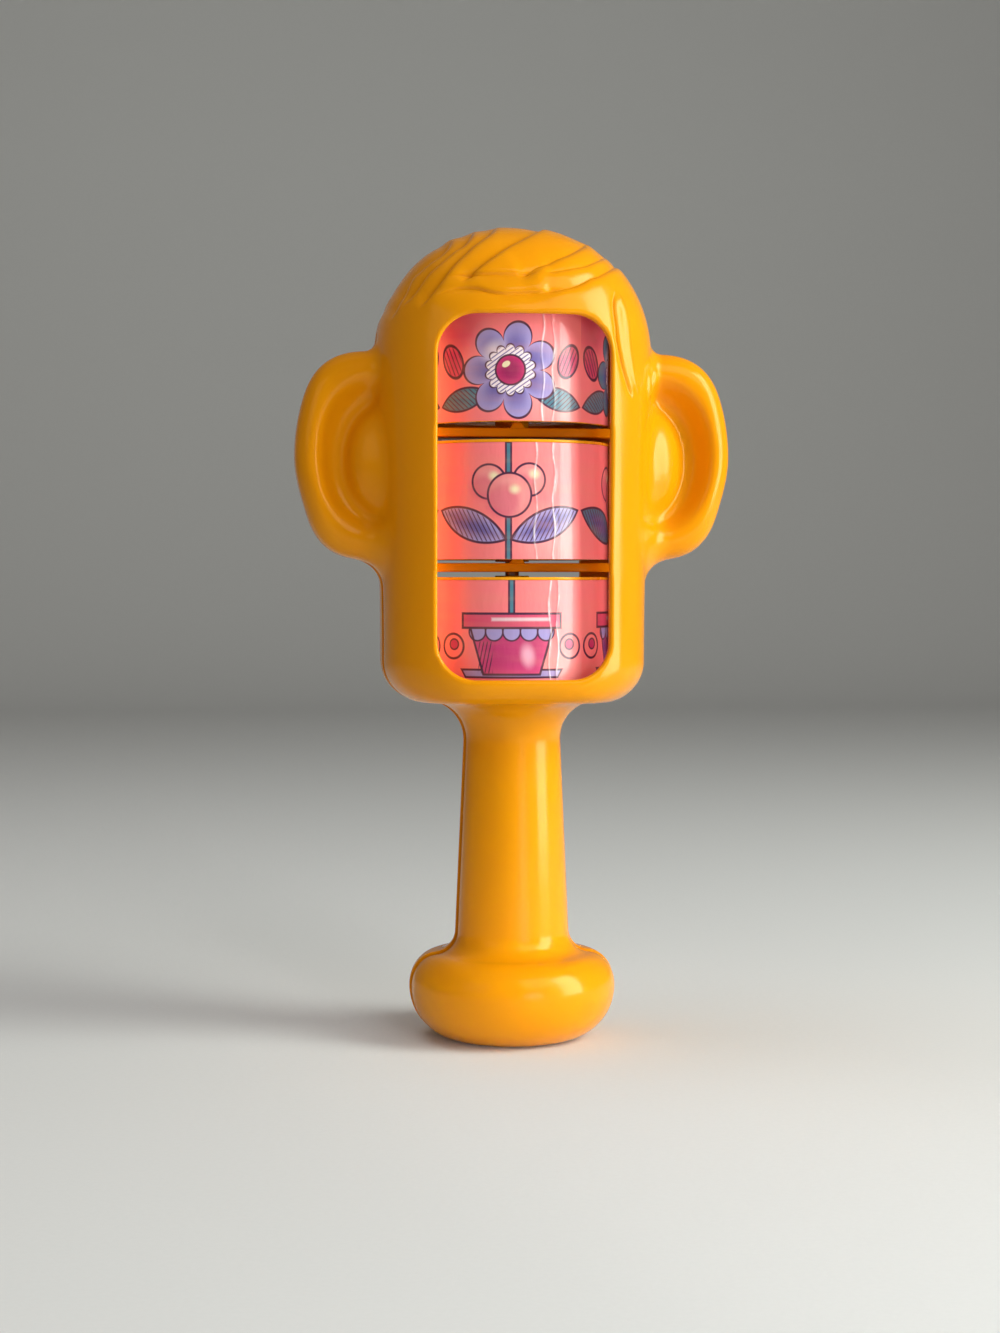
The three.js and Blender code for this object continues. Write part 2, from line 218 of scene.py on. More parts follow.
def turned(profile: list[Spot], steps: int = 160, edge: float = 0.0) -> Shape:
    """Spin a closed profile round the upright axis.

    Args:
        profile: Radius and height of each corner, in millimetres.
        steps: Steps in the full turn.
        edge: Rounding of the sharp rings, in millimetres.

    Returns:
        The turned ring, shaded.
    """
    shape = bmesh.new()
    verts = [shape.verts.new((radius * MM, 0.0, up * MM)) for radius, up in profile]
    edges = [shape.edges.new(pair) for pair in zip(verts, verts[1:] + verts[:1])]
    bmesh.ops.spin(shape, geom=[*verts, *edges], cent=(0.0, 0.0, 0.0), axis=(0.0, 0.0, 1.0),
                   angle=2 * math.pi, steps=steps, use_merge=True)
    bmesh.ops.remove_doubles(shape, verts=shape.verts, dist=1e-7)
    bmesh.ops.recalc_face_normals(shape, faces=shape.faces)
    if edge > 0.0:
        sharp = [item for item in shape.edges if item.calc_face_angle(0.0) > RING_EDGE_ABOVE]
        round_edges(shape, sharp, edge)
    shade(shape)
    return shape


def add_piece(name: str, shape: Shape, finish: Material, body: Body, slot: str, *nodes: str) -> None:
    """Put a finished piece in the scene.

    Args:
        name: Name of the piece.
        shape: Its form, which is freed.
        finish: Its material.
        body: Body that it rides on.
        slot: Material slot of the record that it belongs to; not used.
        nodes: Nodes of the construction model that it stands for.
    """
    piece = new_object(name, mesh_from(name, shape))
    piece.data.materials.append(finish)
    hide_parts(*nodes)
    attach(piece, body.value)
    LOG.info("%s rides on %s, %d faces", name, body.value, len(piece.data.polygons))


class NodeTree:
    """Small helper that adds and links shader nodes of one material."""

    def __init__(self, name: str) -> None:
        """Start an empty material with a Principled surface.

        Args:
            name: Name of the material.
        """
        self.material = bpy.data.materials.new(name)
        self.material.use_nodes = True
        self.nodes = self.material.node_tree.nodes
        self.links = self.material.node_tree.links
        self.surface = self.nodes["Principled BSDF"]

    def add(self, kind: str, **settings: object) -> bpy.types.Node:
        """Add a node of a kind and set its properties.

        Args:
            kind: Blender's name for the node.
            settings: Properties and their values.

        Returns:
            The node.
        """
        node = self.nodes.new(kind)
        for key, value in settings.items():
            setattr(node, key, value)
        return node

    def feed(self, socket: Socket, value: object) -> None:
        """Link an output to an input, or set the input's own value.

        Args:
            socket: The input.
            value: An output, or a plain value.
        """
        if isinstance(value, Socket):
            self.links.new(value, socket)
        else:
            socket.default_value = value

    def math(self, operation: str, *values: object) -> Socket:
        """Add a Math node and return its output.

        Args:
            operation: Blender's name for the operation.
            values: Outputs or plain values.

        Returns:
            The node's output.
        """
        node = self.add("ShaderNodeMath", operation=operation)
        for socket, value in zip(node.inputs, values):
            self.feed(socket, value)
        return node.outputs[0]

    def span(self, value: object, low: float, high: float, start: float, end: float) -> Socket:
        """Map a value from low..high to start..end with a smooth step.

        Args:
            value: An output or a plain value.
            low: Where the step begins.
            high: Where it ends.
            start: Result at low and below it.
            end: Result at high and above it.

        Returns:
            The mapped value.
        """
        node = self.add("ShaderNodeMapRange", interpolation_type="SMOOTHSTEP")
        for socket, given in zip(node.inputs, (value, low, high, start, end)):
            self.feed(socket, given)
        return node.outputs[0]

    def blend(self, share: object, first: object, second: object) -> Socket:
        """Mix two colours by a share.

        Args:
            share: How much of the second colour is mixed in.
            first: The first colour.
            second: The second colour.

        Returns:
            The mixed colour.
        """
        node = self.add("ShaderNodeMix", data_type="RGBA")
        self.feed(node.inputs[0], share)
        for socket, value in ((node.inputs[6], first), (node.inputs[7], second)):
            self.feed(socket, (*value, 1.0) if isinstance(value, tuple) else value)
        return node.outputs[2]

    def place_of(self, scale: Place = (1.0, 1.0, 1.0)) -> Socket:
        """Object coordinates, scaled along each axis.

        Args:
            scale: Scale of each axis.

        Returns:
            The coordinates.
        """
        mapping = self.add("ShaderNodeMapping")
        mapping.inputs["Scale"].default_value = scale
        self.links.new(self.add("ShaderNodeTexCoord").outputs["Object"], mapping.inputs["Vector"])
        return mapping.outputs[0]

    def noise(self, vector: Socket, scale: float, detail: float) -> Socket:
        """Noise value of a scale and detail at a place.

        Args:
            vector: The place.
            scale: How fine the noise is.
            detail: How many finer layers it has.

        Returns:
            The noise value.
        """
        node = self.add("ShaderNodeTexNoise")
        self.feed(node.inputs["Vector"], vector)
        node.inputs["Scale"].default_value = scale
        node.inputs["Detail"].default_value = detail
        return node.outputs[0]

    def bump(self, height: Socket, strength: float, distance: float, under: Socket | None = None) -> Socket:
        """Bump from a height, over another bump where one is given.

        Args:
            height: The height.
            strength: How strongly it shows.
            distance: Its size in metres.
            under: The other bump.

        Returns:
            The bumped normal.
        """
        node = self.add("ShaderNodeBump")
        node.inputs["Strength"].default_value = strength
        node.inputs["Distance"].default_value = distance
        self.feed(node.inputs["Height"], height)
        if under is not None:
            self.links.new(under, node.inputs["Normal"])
        return node.outputs[0]

    def set(self, **values: object) -> None:
        """Set or link sockets of the Principled surface, with _ for a space in a name.

        Args:
            values: Sockets and what they get.
        """
        for key, value in values.items():
            name = " ".join(word.capitalize() for word in key.split("_")).replace("Ior", "IOR")
            socket = self.surface.inputs[name]
            self.feed(socket, (*value, 1.0) if isinstance(value, tuple) else value)


@dataclass(frozen=True)
class MouldedPlastic:
    """Glossy moulded plastic with faint clouds of colour, smears, flow ripples and a fine grain."""

    name: str
    colour: Colour
    deep_colour: Colour
    roughness: float
    coat: float
    wear: float = 0.10
    sheen: Colour = (1.0, 0.80, 0.45)
    cloud_scale: float = 28.0
    cloud_share: float = 0.55
    smear_scale: float = 260.0
    smear_squash: Place = (1.0, 1.0, 0.25)
    ripple_scale: float = 95.0
    ripple_strength: float = 0.10
    ripple_height: float = 0.0006
    grain_scale: float = 2600.0
    grain_strength: float = 0.05
    grain_height: float = 0.0001
    glow: float = 0.06
    glow_depth: float = 0.004
    glow_colour: Colour = (1.0, 0.45, 0.08)

    def build(self) -> Material:
        """Make the material.

        Returns:
            The material.
        """
        tree = NodeTree(self.name)
        spot = tree.place_of()
        clouds = tree.noise(spot, self.cloud_scale, 3.0)
        tint = tree.span(clouds, 0.3, 0.75, 0.0, self.cloud_share)
        tree.set(base_color=tree.blend(tint, self.colour, self.deep_colour))
        smears = tree.noise(tree.place_of(self.smear_squash), self.smear_scale, 4.0)
        tree.set(roughness=tree.span(smears, 0.35, 0.75, self.roughness, self.roughness + self.wear))
        ripples = tree.noise(spot, self.ripple_scale, 1.0)
        waves = tree.bump(ripples, self.ripple_strength, self.ripple_height)
        grain = tree.noise(spot, self.grain_scale, 2.0)
        tree.set(normal=tree.bump(grain, self.grain_strength, self.grain_height, waves))
        tree.set(coat_weight=self.coat, coat_roughness=0.06, specular_ior_level=0.32)
        tree.set(specular_tint=self.sheen)
        tree.set(subsurface_weight=self.glow, subsurface_scale=self.glow_depth)
        tree.surface.inputs["Subsurface Radius"].default_value = self.glow_colour
        return tree.material


@dataclass(frozen=True)
class DrawnSteel:
    """Bright drawn rod with fine marks round it."""

    name: str = "drawn_steel"
    colour: Colour = (0.42, 0.41, 0.40)
    mark_scale: float = 90.0
    mark_squash: Place = (0.4, 0.4, 30.0)
    mark_height: float = 0.00005

    def build(self) -> Material:
        """Make the material.

        Returns:
            The material.
        """
        tree = NodeTree(self.name)
        marks = tree.noise(tree.place_of(self.mark_squash), self.mark_scale, 3.0)
        tree.set(base_color=self.colour, metallic=1.0)
        tree.set(roughness=tree.span(marks, 0.3, 0.7, 0.26, 0.42))
        tree.set(normal=tree.bump(marks, 0.15, self.mark_height))
        return tree.material


INK = srgb(0x4A2342)
MAGENTA = srgb(0xC42A6C)
DEEP_ROSE = srgb(0xDC4F74)
LILAC = srgb(0xA79AD2)
VIOLET = srgb(0x5C4E9A)
TEAL = srgb(0x4C7E92)
CREAM = srgb(0xF4E6BC)
PALE = srgb(0xF7E9EE)


class Sketch:
    """A drawing on a label: shapes painted one over another, measured in millimetres."""

    soft_edge: float = 0.08
    petal_roundness: float = 0.55

    def __init__(self, tree: NodeTree, across: Socket, up: Socket, ground: Colour) -> None:
        """Start a drawing on a plain ground.

        Args:
            tree: Nodes of the label's material.
            across: Place across the picture.
            up: Place up the label.
            ground: Colour of the ground.
        """
        self.tree = tree
        self.across = across
        self.up = up
        self.colour: object = ground

    def offset(self, middle: Spot, turn: float = 0.0) -> tuple[Socket, Socket]:
        """Coordinates about a point.

        Args:
            middle: The point.
            turn: How far the coordinates are turned, in degrees.

        Returns:
            The places along and beside the turned direction.
        """
        tree = self.tree
        right = tree.math("SUBTRACT", self.across, middle[0])
        over = tree.math("SUBTRACT", self.up, middle[1])
        if turn == 0.0:
            return right, over
        cosine = math.cos(math.radians(turn))
        sine = math.sin(math.radians(turn))
        along = tree.math("MULTIPLY_ADD", right, cosine, tree.math("MULTIPLY", over, sine))
        beside = tree.math("MULTIPLY_ADD", right, -sine, tree.math("MULTIPLY", over, cosine))
        return along, beside

    def length(self, first: Socket, second: Socket) -> Socket:
        """Length of a flat vector."""
        square = self.tree.math("MULTIPLY", first, first)
        return self.tree.math("SQRT", self.tree.math("MULTIPLY_ADD", second, second, square))

    def oval(self, middle: Spot, halves: Spot, turn: float = 0.0) -> Socket:
        """Distance to an oval with the given half sizes, turned by degrees.

        Args:
            middle: The oval's middle.
            halves: Its half sizes.
            turn: How far it is turned, in degrees.

        Returns:
            The distance, below 0 inside.
        """
        tree = self.tree
        along, beside = self.offset(middle, turn)
        scaled = self.length(tree.math("DIVIDE", along, halves[0]), tree.math("DIVIDE", beside, halves[1]))
        return tree.math("MULTIPLY", tree.math("SUBTRACT", scaled, 1.0), min(halves))

    def block(self, middle: Spot, halves: Spot, taper: float = 0.0) -> Socket:
        """Distance to an upright block that widens upward by a taper.

        Args:
            middle: The block's middle.
            halves: Its half sizes.
            taper: How much its half width grows per height.

        Returns:
            The distance, below 0 inside.
        """
        tree = self.tree
        right, over = self.offset(middle)
        half = tree.math("MULTIPLY_ADD", over, taper, halves[0])
        wide = tree.math("SUBTRACT", tree.math("ABSOLUTE", right), half)
        tall = tree.math("SUBTRACT", tree.math("ABSOLUTE", over), halves[1])
        return tree.math("MAXIMUM", wide, tall)

    def leaf(self, middle: Spot, length: float, width: float, turn: float) -> Socket:
        """Distance to a leaf pointed at both ends.

        Args:
            middle: The leaf's middle.
            length: Its length.
            width: Its greatest width.
            turn: How far it is turned, in degrees.

        Returns:
            The distance, below 0 inside.
        """
        along, beside = self.offset(middle, turn)
        radius = (length**2 + width**2) / (4 * width)
        away = self.tree.math("ADD", self.tree.math("ABSOLUTE", beside), radius - width / 2)
        return self.tree.math("SUBTRACT", self.length(along, away), radius)

    def rosette(self, middle: Spot, petals: int, valley: float, tip: float) -> Socket:
        """Distance to a ring of petals that reach from a valley's radius to a tip's.

        Args:
            middle: The ring's middle.
            petals: Number of petals.
            valley: Radius between two petals.
            tip: Radius of a petal's tip.

        Returns:
            The distance, below 0 inside.
        """
        tree = self.tree
        right, over = self.offset(middle)
        angle = tree.math("MULTIPLY", tree.math("ARCTAN2", over, right), petals / 2)
        swing = tree.math("POWER", tree.math("ABSOLUTE", tree.math("SINE", angle)), self.petal_roundness)
        edge = tree.math("MULTIPLY_ADD", swing, tip - valley, valley)
        return tree.math("SUBTRACT", self.length(right, over), edge)

    def paint(self, distance: Socket, colour: object) -> None:
        """Fill a shape with a colour."""
        mask = self.tree.span(distance, -self.soft_edge, self.soft_edge, 1.0, 0.0)
        self.colour = self.tree.blend(mask, self.colour, colour)

    def line(self, distance: Socket, width: float) -> None:
        """Draw a line of ink along the edge of a shape."""
        self.paint(self.tree.math("SUBTRACT", self.tree.math("ABSOLUTE", distance), width / 2), INK)

    def glow(self, distance: Socket, reach: float, colour: Colour, share: float) -> None:
        """Airbrush a colour that fades in from a shape's edge over a reach."""
        mask = self.tree.span(distance, -reach, 0.0, share, 0.0)
        self.colour = self.tree.blend(mask, self.colour, colour)

    def hatch(self, distance: Socket, turn: float, pitch: float, colour: Colour = INK) -> None:
        """Fill a shape with fine strokes in a direction, at a pitch.

        Args:
            distance: Distance to the shape.
            turn: Direction of the strokes, in degrees.
            pitch: Distance from stroke to stroke.
            colour: Colour of the strokes.
        """
        tree = self.tree
        beside = self.offset((0.0, 0.0), turn)[1]
        wave = tree.math("SINE", tree.math("MULTIPLY", beside, 2 * math.pi / pitch))
        stroke = tree.span(wave, 0.35, 0.75, 0.0, 1.0)
        inside = tree.span(distance, -0.6, 0.0, 0.9, 0.0)
        self.colour = tree.blend(tree.math("MULTIPLY", stroke, inside), self.colour, colour)


@dataclass(frozen=True)
class Crease:
    """A crease up a label's film: its share of a turn, and how it wanders and fades on its way up."""

    share: float
    phase: float
    wander: float = 0.0022
    pace: float = 0.55
    fade_pace: float = 0.715
    faintest: float = 0.15
    usual: float = 0.5
    swing: float = 0.7

    def path(self, up: float) -> float:
        """Share of a turn at which the crease lies at a height in millimetres."""
        return self.share + self.wander * math.sin(self.pace * up + self.phase)

    def strength(self, up: float) -> float:
        """How strongly the crease stands up at a height, from faint to 1."""
        level = self.usual + self.swing * math.sin(self.fade_pace * up + 2.0 * self.phase)
        return min(1.0, max(self.faintest, level))

    def drawn(self, tree: NodeTree, up: Socket) -> Socket:
        """The crease's path as shader nodes."""
        wave = tree.math("SINE", tree.math("MULTIPLY_ADD", up, self.pace, self.phase))
        return tree.math("MULTIPLY_ADD", wave, self.wander, self.share)


LABEL_CREASES = {
    Level.LOWER: (Crease(0.542, 0.6), Crease(0.556, 2.3), Crease(0.27, 1.0), Crease(0.83, 4.0)),
    Level.MIDDLE: (Crease(0.518, 1.9), Crease(0.549, 4.4), Crease(0.24, 2.0), Crease(0.80, 0.4)),
    Level.UPPER: (Crease(0.530, 3.1), Crease(0.548, 5.2), Crease(0.31, 3.0), Crease(0.77, 1.4)),
}


@dataclass(frozen=True)
class LabelPrint:
    """Glossy printed film of one drum: a flower picture in three parts, several times round.

    The blossom is on the upper drum, leaves and berries on the middle one, the pot on the lower.
    """

    level: Level
    turn: float
    around: float
    height: float
    pictures: int = 4
    ground: Colour = srgb(0xFF8286)
    light_ground: Colour = srgb(0xFBA6A4)
    yellowed: Colour = srgb(0xE8A07C)
    yellowed_share: float = 0.16
    # painted highlight: pale colour laid along the film's creases, where they catch the light
    crease_highlight_colour: Colour = srgb(0xFBEFF2)
    crease_width: float = 0.0026
    streak_stretch: Place = (60.0, 3.0, 1.0)

    def build(self) -> Material:
        """Make the material.

        Returns:
            The material.
        """
        tree = NodeTree(f"{self.level.value}_label_print")
        parts = tree.add("ShaderNodeSeparateXYZ")
        tree.links.new(tree.add("ShaderNodeTexCoord").outputs["UV"], parts.inputs[0])
        round_share, rise = parts.outputs[0], parts.outputs[1]
        copies = float(self.pictures)
        count = tree.math("MULTIPLY_ADD", round_share, copies, 0.5 - copies * self.turn)
        across = tree.math("SUBTRACT", tree.math("FRACT", count), 0.5)
        across = tree.math("MULTIPLY", across, self.around / copies)
        up = tree.math("MULTIPLY", rise, self.height)
        other = tree.math("PINGPONG", tree.math("FLOOR", count), 1.0)
        sketch = Sketch(tree, across, up, self.ground)
        if self.level is Level.UPPER:
            sketch.glow(sketch.oval((-12.0, 20.0), (9.0, 8.0)), 6.0, MAGENTA, 0.55)
        sketch.glow(sketch.oval((9.0, 5.0), (12.0, 9.0)), 8.0, self.light_ground, 0.6)
        drawing = {Level.UPPER: self.blossom, Level.MIDDLE: self.berries, Level.LOWER: self.pot}
        drawing[self.level](sketch, other)
        self.film(tree, sketch.colour, round_share, rise)
        return tree.material

    @staticmethod
    def blossom(sketch: Sketch, other: Socket) -> None:
        """Draw the blossom with two leaves and two buds.

        Args:
            sketch: The drawing.
            other: 1 on each second picture, which has other colours.
        """
        for side in (-1.0, 1.0):
            leaf = sketch.leaf((side * 10.4, 4.6), 11.5, 4.6, side * -14.0)
            sketch.paint(leaf, TEAL)
            sketch.hatch(leaf, side * 40.0, 0.8)
            sketch.line(leaf, 0.45)
            bud = sketch.oval((side * 13.0, 12.6), (2.4, 3.6), side * -24.0)
            sketch.paint(bud, DEEP_ROSE)
            sketch.glow(bud, 2.0, MAGENTA, 0.8)
            sketch.hatch(bud, side * -24.0 + 90.0, 0.9)
            sketch.line(bud, 0.45)
        middle = (0.0, 10.6)
        petals = sketch.rosette(middle, 7, 6.0, 10.2)
        sketch.paint(petals, sketch.tree.blend(other, LILAC, TEAL))
        sketch.glow(petals, 5.0, VIOLET, 0.75)
        sketch.glow(sketch.oval((-3.5, 14.5), (4.0, 3.0), 40.0), 3.0, PALE, 0.75)
        sketch.line(petals, 0.5)
        crown = sketch.rosette(middle, 14, 4.2, 5.4)
        sketch.paint(crown, PALE)
        sketch.hatch(crown, 35.0, 0.75, VIOLET)
        sketch.line(crown, 0.35)
        heart = sketch.oval(middle, (3.1, 3.1))
        sketch.paint(heart, MAGENTA)
        sketch.glow(heart, 2.2, srgb(0x7C1D50), 0.6)
        sketch.line(heart, 0.4)
        sketch.paint(sketch.oval((-0.9, 11.8), (0.9, 0.6), 30.0), CREAM)

    @staticmethod
    def berries(sketch: Sketch, other: Socket) -> None:
        """Draw a stem with two hatched leaves and three berries.

        Args:
            sketch: The drawing.
            other: 1 on each second picture, which has other colours.
        """
        stem = sketch.block((0.0, 11.9), (0.55, 12.5))
        sketch.paint(stem, TEAL)
        sketch.line(stem, 0.4)
        for side in (-1.0, 1.0):
            leaf = sketch.leaf((side * 8.2, 7.2), 16.5, 6.2, side * 22.0)
            sketch.paint(leaf, sketch.tree.blend(other, LILAC, TEAL))
            sketch.glow(leaf, 2.6, VIOLET, 0.8)
            sketch.hatch(leaf, side * 62.0, 0.85)
            sketch.line(leaf, 0.5)
        for right, over, radius in ((-4.2, 16.2, 3.6), (4.4, 16.6, 3.4), (0.2, 13.4, 4.6)):
            berry = sketch.oval((right, over), (radius, radius))
            sketch.paint(berry, srgb(0xF08A8E))
            sketch.glow(berry, 1.6, srgb(0xF3A09C), 0.6)
            sketch.glow(sketch.oval((right - 1.4, over - 1.2), (radius, radius)), 2.2, DEEP_ROSE, 0.55)
            sketch.glow(sketch.oval((right + 1.1, over + 1.2), (1.7, 1.5)), 1.4, CREAM, 0.95)
            sketch.line(berry, 0.45)

    @staticmethod
    def pot(sketch: Sketch, other: Socket) -> None:
        """Draw the pot with a rim, a band of scallops and a gleam.

        Args:
            sketch: The drawing.
            other: 1 on each second picture, which has other colours.
        """
        stem = sketch.block((0.0, 20.5), (0.55, 5.0))
        sketch.paint(stem, TEAL)
        sketch.line(stem, 0.4)
        saucer = sketch.block((0.0, 4.8), (10.6, 0.8), 0.6)
        sketch.paint(saucer, LILAC)
        sketch.line(saucer, 0.45)
        bowl = sketch.block((0.0, 9.8), (7.6, 5.2), 0.30)
        sketch.paint(bowl, sketch.tree.blend(other, srgb(0xD6447E), srgb(0x9A5AA8)))
        sketch.glow(bowl, 3.0, srgb(0xB02A66), 0.5)
        sketch.hatch(sketch.block((-5.6, 8.2), (1.8, 3.6)), 78.0, 0.8)
        sketch.glow(sketch.oval((3.4, 8.6), (2.2, 3.6), 8.0), 1.8, srgb(0xF6B4CC), 0.85)
        for side in (-1.0, 1.0):
            sketch.line(sketch.oval((side * 13.2, 10.5), (2.6, 2.6)), 0.5)
            tip = sketch.oval((side * 13.0, 10.9), (1.1, 1.1))
            sketch.paint(tip, MAGENTA)
            sketch.line(tip, 0.35)
        for step in range(-2, 3):
            scallop = sketch.oval((step * 3.7, 13.6), (1.85, 1.9))
            sketch.paint(scallop, LILAC)
            sketch.line(scallop, 0.35)
        sketch.line(bowl, 0.5)
        rim = sketch.block((0.0, 15.9), (10.8, 1.5))
        sketch.paint(rim, DEEP_ROSE)
        sketch.glow(sketch.block((2.0, 16.2), (6.5, 0.6)), 0.5, PALE, 0.7)
        sketch.line(rim, 0.5)

    def film(self, tree: NodeTree, print_colour: object, round_share: Socket, rise: Socket) -> None:
        """Put the worn glossy film over the print: painted highlights along the creases, crinkles and a
        soft sheen.

        Args:
            tree: Nodes of the label's material.
            print_colour: Colour of the drawing.
            round_share: Share of a turn at each place.
            rise: Share of the label's height at each place.
        """
        joined = tree.add("ShaderNodeCombineXYZ")
        tree.links.new(round_share, joined.inputs[0])
        tree.links.new(rise, joined.inputs[1])
        mapping = tree.add("ShaderNodeMapping")
        mapping.inputs["Scale"].default_value = self.streak_stretch
        mapping.inputs["Location"].default_value = (7.0 * len(self.level.value), 0.0, 0.0)
        tree.links.new(joined.outputs[0], mapping.inputs["Vector"])
        streaks = tree.noise(mapping.outputs[0], 1.6, 5.0)
        up = tree.math("MULTIPLY", rise, self.height)
        colour = print_colour
        height = streaks
        for crease in LABEL_CREASES[self.level]:
            gap = tree.math("ABSOLUTE", tree.math("SUBTRACT", round_share, crease.drawn(tree, up)))
            line = tree.span(gap, 0.0, self.crease_width, 1.0, 0.0)
            # painted highlight: pale broken lines along each crease, where the raised film catches the
            # light
            painted_highlight = tree.math("MULTIPLY", line, tree.span(streaks, 0.42, 0.62, 0.05, 0.7))
            colour = tree.blend(painted_highlight, colour, self.crease_highlight_colour)
            height = tree.math("ADD", height, line)
        patches = tree.noise(joined.outputs[0], 9.0, 4.0)
        colour = tree.blend(tree.span(patches, 0.35, 0.75, 0.0, self.yellowed_share), colour, self.yellowed)
        tree.set(base_color=colour, roughness=0.34, coat_weight=0.32, coat_roughness=0.07)
        tree.set(normal=tree.bump(height, 0.22, 0.0004))


@dataclass(frozen=True)
class StudioPaper:
    """Pale paper of the floor and the sweep behind."""

    name: str = "studio_paper"
    colour: Colour = (0.70, 0.71, 0.71)
    fibre_colour: Colour = (0.66, 0.67, 0.67)
    fibre_scale: float = 900.0

    def build(self) -> Material:
        """Make the material.

        Returns:
            The material.
        """
        tree = NodeTree(self.name)
        fibres = tree.noise(tree.place_of(), self.fibre_scale, 3.0)
        share = tree.span(fibres, 0.3, 0.7, 0.0, 0.25)
        tree.set(base_color=tree.blend(share, self.colour, self.fibre_colour))
        tree.set(roughness=0.85, specular_ior_level=0.2)
        return tree.material


@dataclass(frozen=True)
class Groove:
    """One line between two locks of hair, as points across and up the front of the head.

    The points run down and to the left, so the surface slopes gently into the line from above it
    and comes steeply out of it below, or the other way round where a lock ends in a ledge.
    """

    points: tuple[Spot, ...]
    depth: float = 0.90
    above: float = 2.6
    below: float = 0.50
    lip: float = 0.42
    fade: float = 0.14
    lip_reach: float = 2.2
    steps: int = 6

    def path(self) -> Array:
        """Smooth line through the points.

        Returns:
            Places along the line.
        """
        given = np.array(self.points)
        ends = np.vstack([2 * given[0] - given[1], given, 2 * given[-1] - given[-2]])
        share = np.linspace(0.0, 1.0, self.steps, endpoint=False)[:, None]
        parts = []
        for before, start, stop, after in zip(ends, ends[1:], ends[2:], ends[3:]):
            bend = 2 * before - 5 * start + 4 * stop - after
            curl = 3 * (start - stop) + after - before
            parts.append(0.5 * (2 * start + (stop - before) * share + bend * share**2 + curl * share**3))
        parts.append(given[-1:])
        return np.vstack(parts)

    def measure(self, across: Array, up: Array) -> tuple[Array, Array]:
        """Find where places lie beside the line.

        Args:
            across: How far to the right each place is.
            up: How high it is.

        Returns:
            Distance from the line, above 0 below the line, and the share along it.
        """
        line = self.path()
        runs = np.diff(line, axis=0)
        lengths = np.linalg.norm(runs, axis=1)
        done = np.concatenate([[0.0], np.cumsum(lengths)[:-1]])
        places = np.stack([across, up], axis=1)
        best = np.full(len(across), np.inf)
        side = np.zeros(len(across))
        along = np.zeros(len(across))
        for start, run, length, before in zip(line, runs, lengths, done):
            offset = places - start
            share = np.clip(offset @ run / length**2, 0.0, 1.0)
            gap = np.linalg.norm(offset - share[:, None] * run, axis=1)
            nearer = gap < best
            best = np.where(nearer, gap, best)
            side = np.where(nearer, np.sign(run[0] * offset[:, 1] - run[1] * offset[:, 0]), side)
            along = np.where(nearer, before + share * length, along)
        return best * side, along / lengths.sum()

    def relief(self, across: Array, up: Array) -> Array:
        """Height that the line adds to the skin.

        Args:
            across: How far to the right each place is.
            up: How high it is.

        Returns:
            Height at each place, below 0 in the groove.
        """
        gap, share = self.measure(across, up)
        strength = ease(share / self.fade) * ease((1.0 - share) / self.fade)
        reach = np.where(gap < 0.0, self.above, self.below)
        cut = -self.depth * np.exp(-np.abs(gap) / reach)
        beyond = np.maximum(gap, 0.0)
        swell = self.lip * (1.0 - np.exp(-beyond / self.below)) * np.exp(-beyond / self.lip_reach)
        return strength * (cut + swell)


def ledge(points: tuple[Spot, ...], depth: float) -> Groove:
    """A lock's end: a sharp drop below the line that comes back slowly."""
    return Groove(points, depth, above=0.35, below=2.2, lip=0.0, fade=0.28)


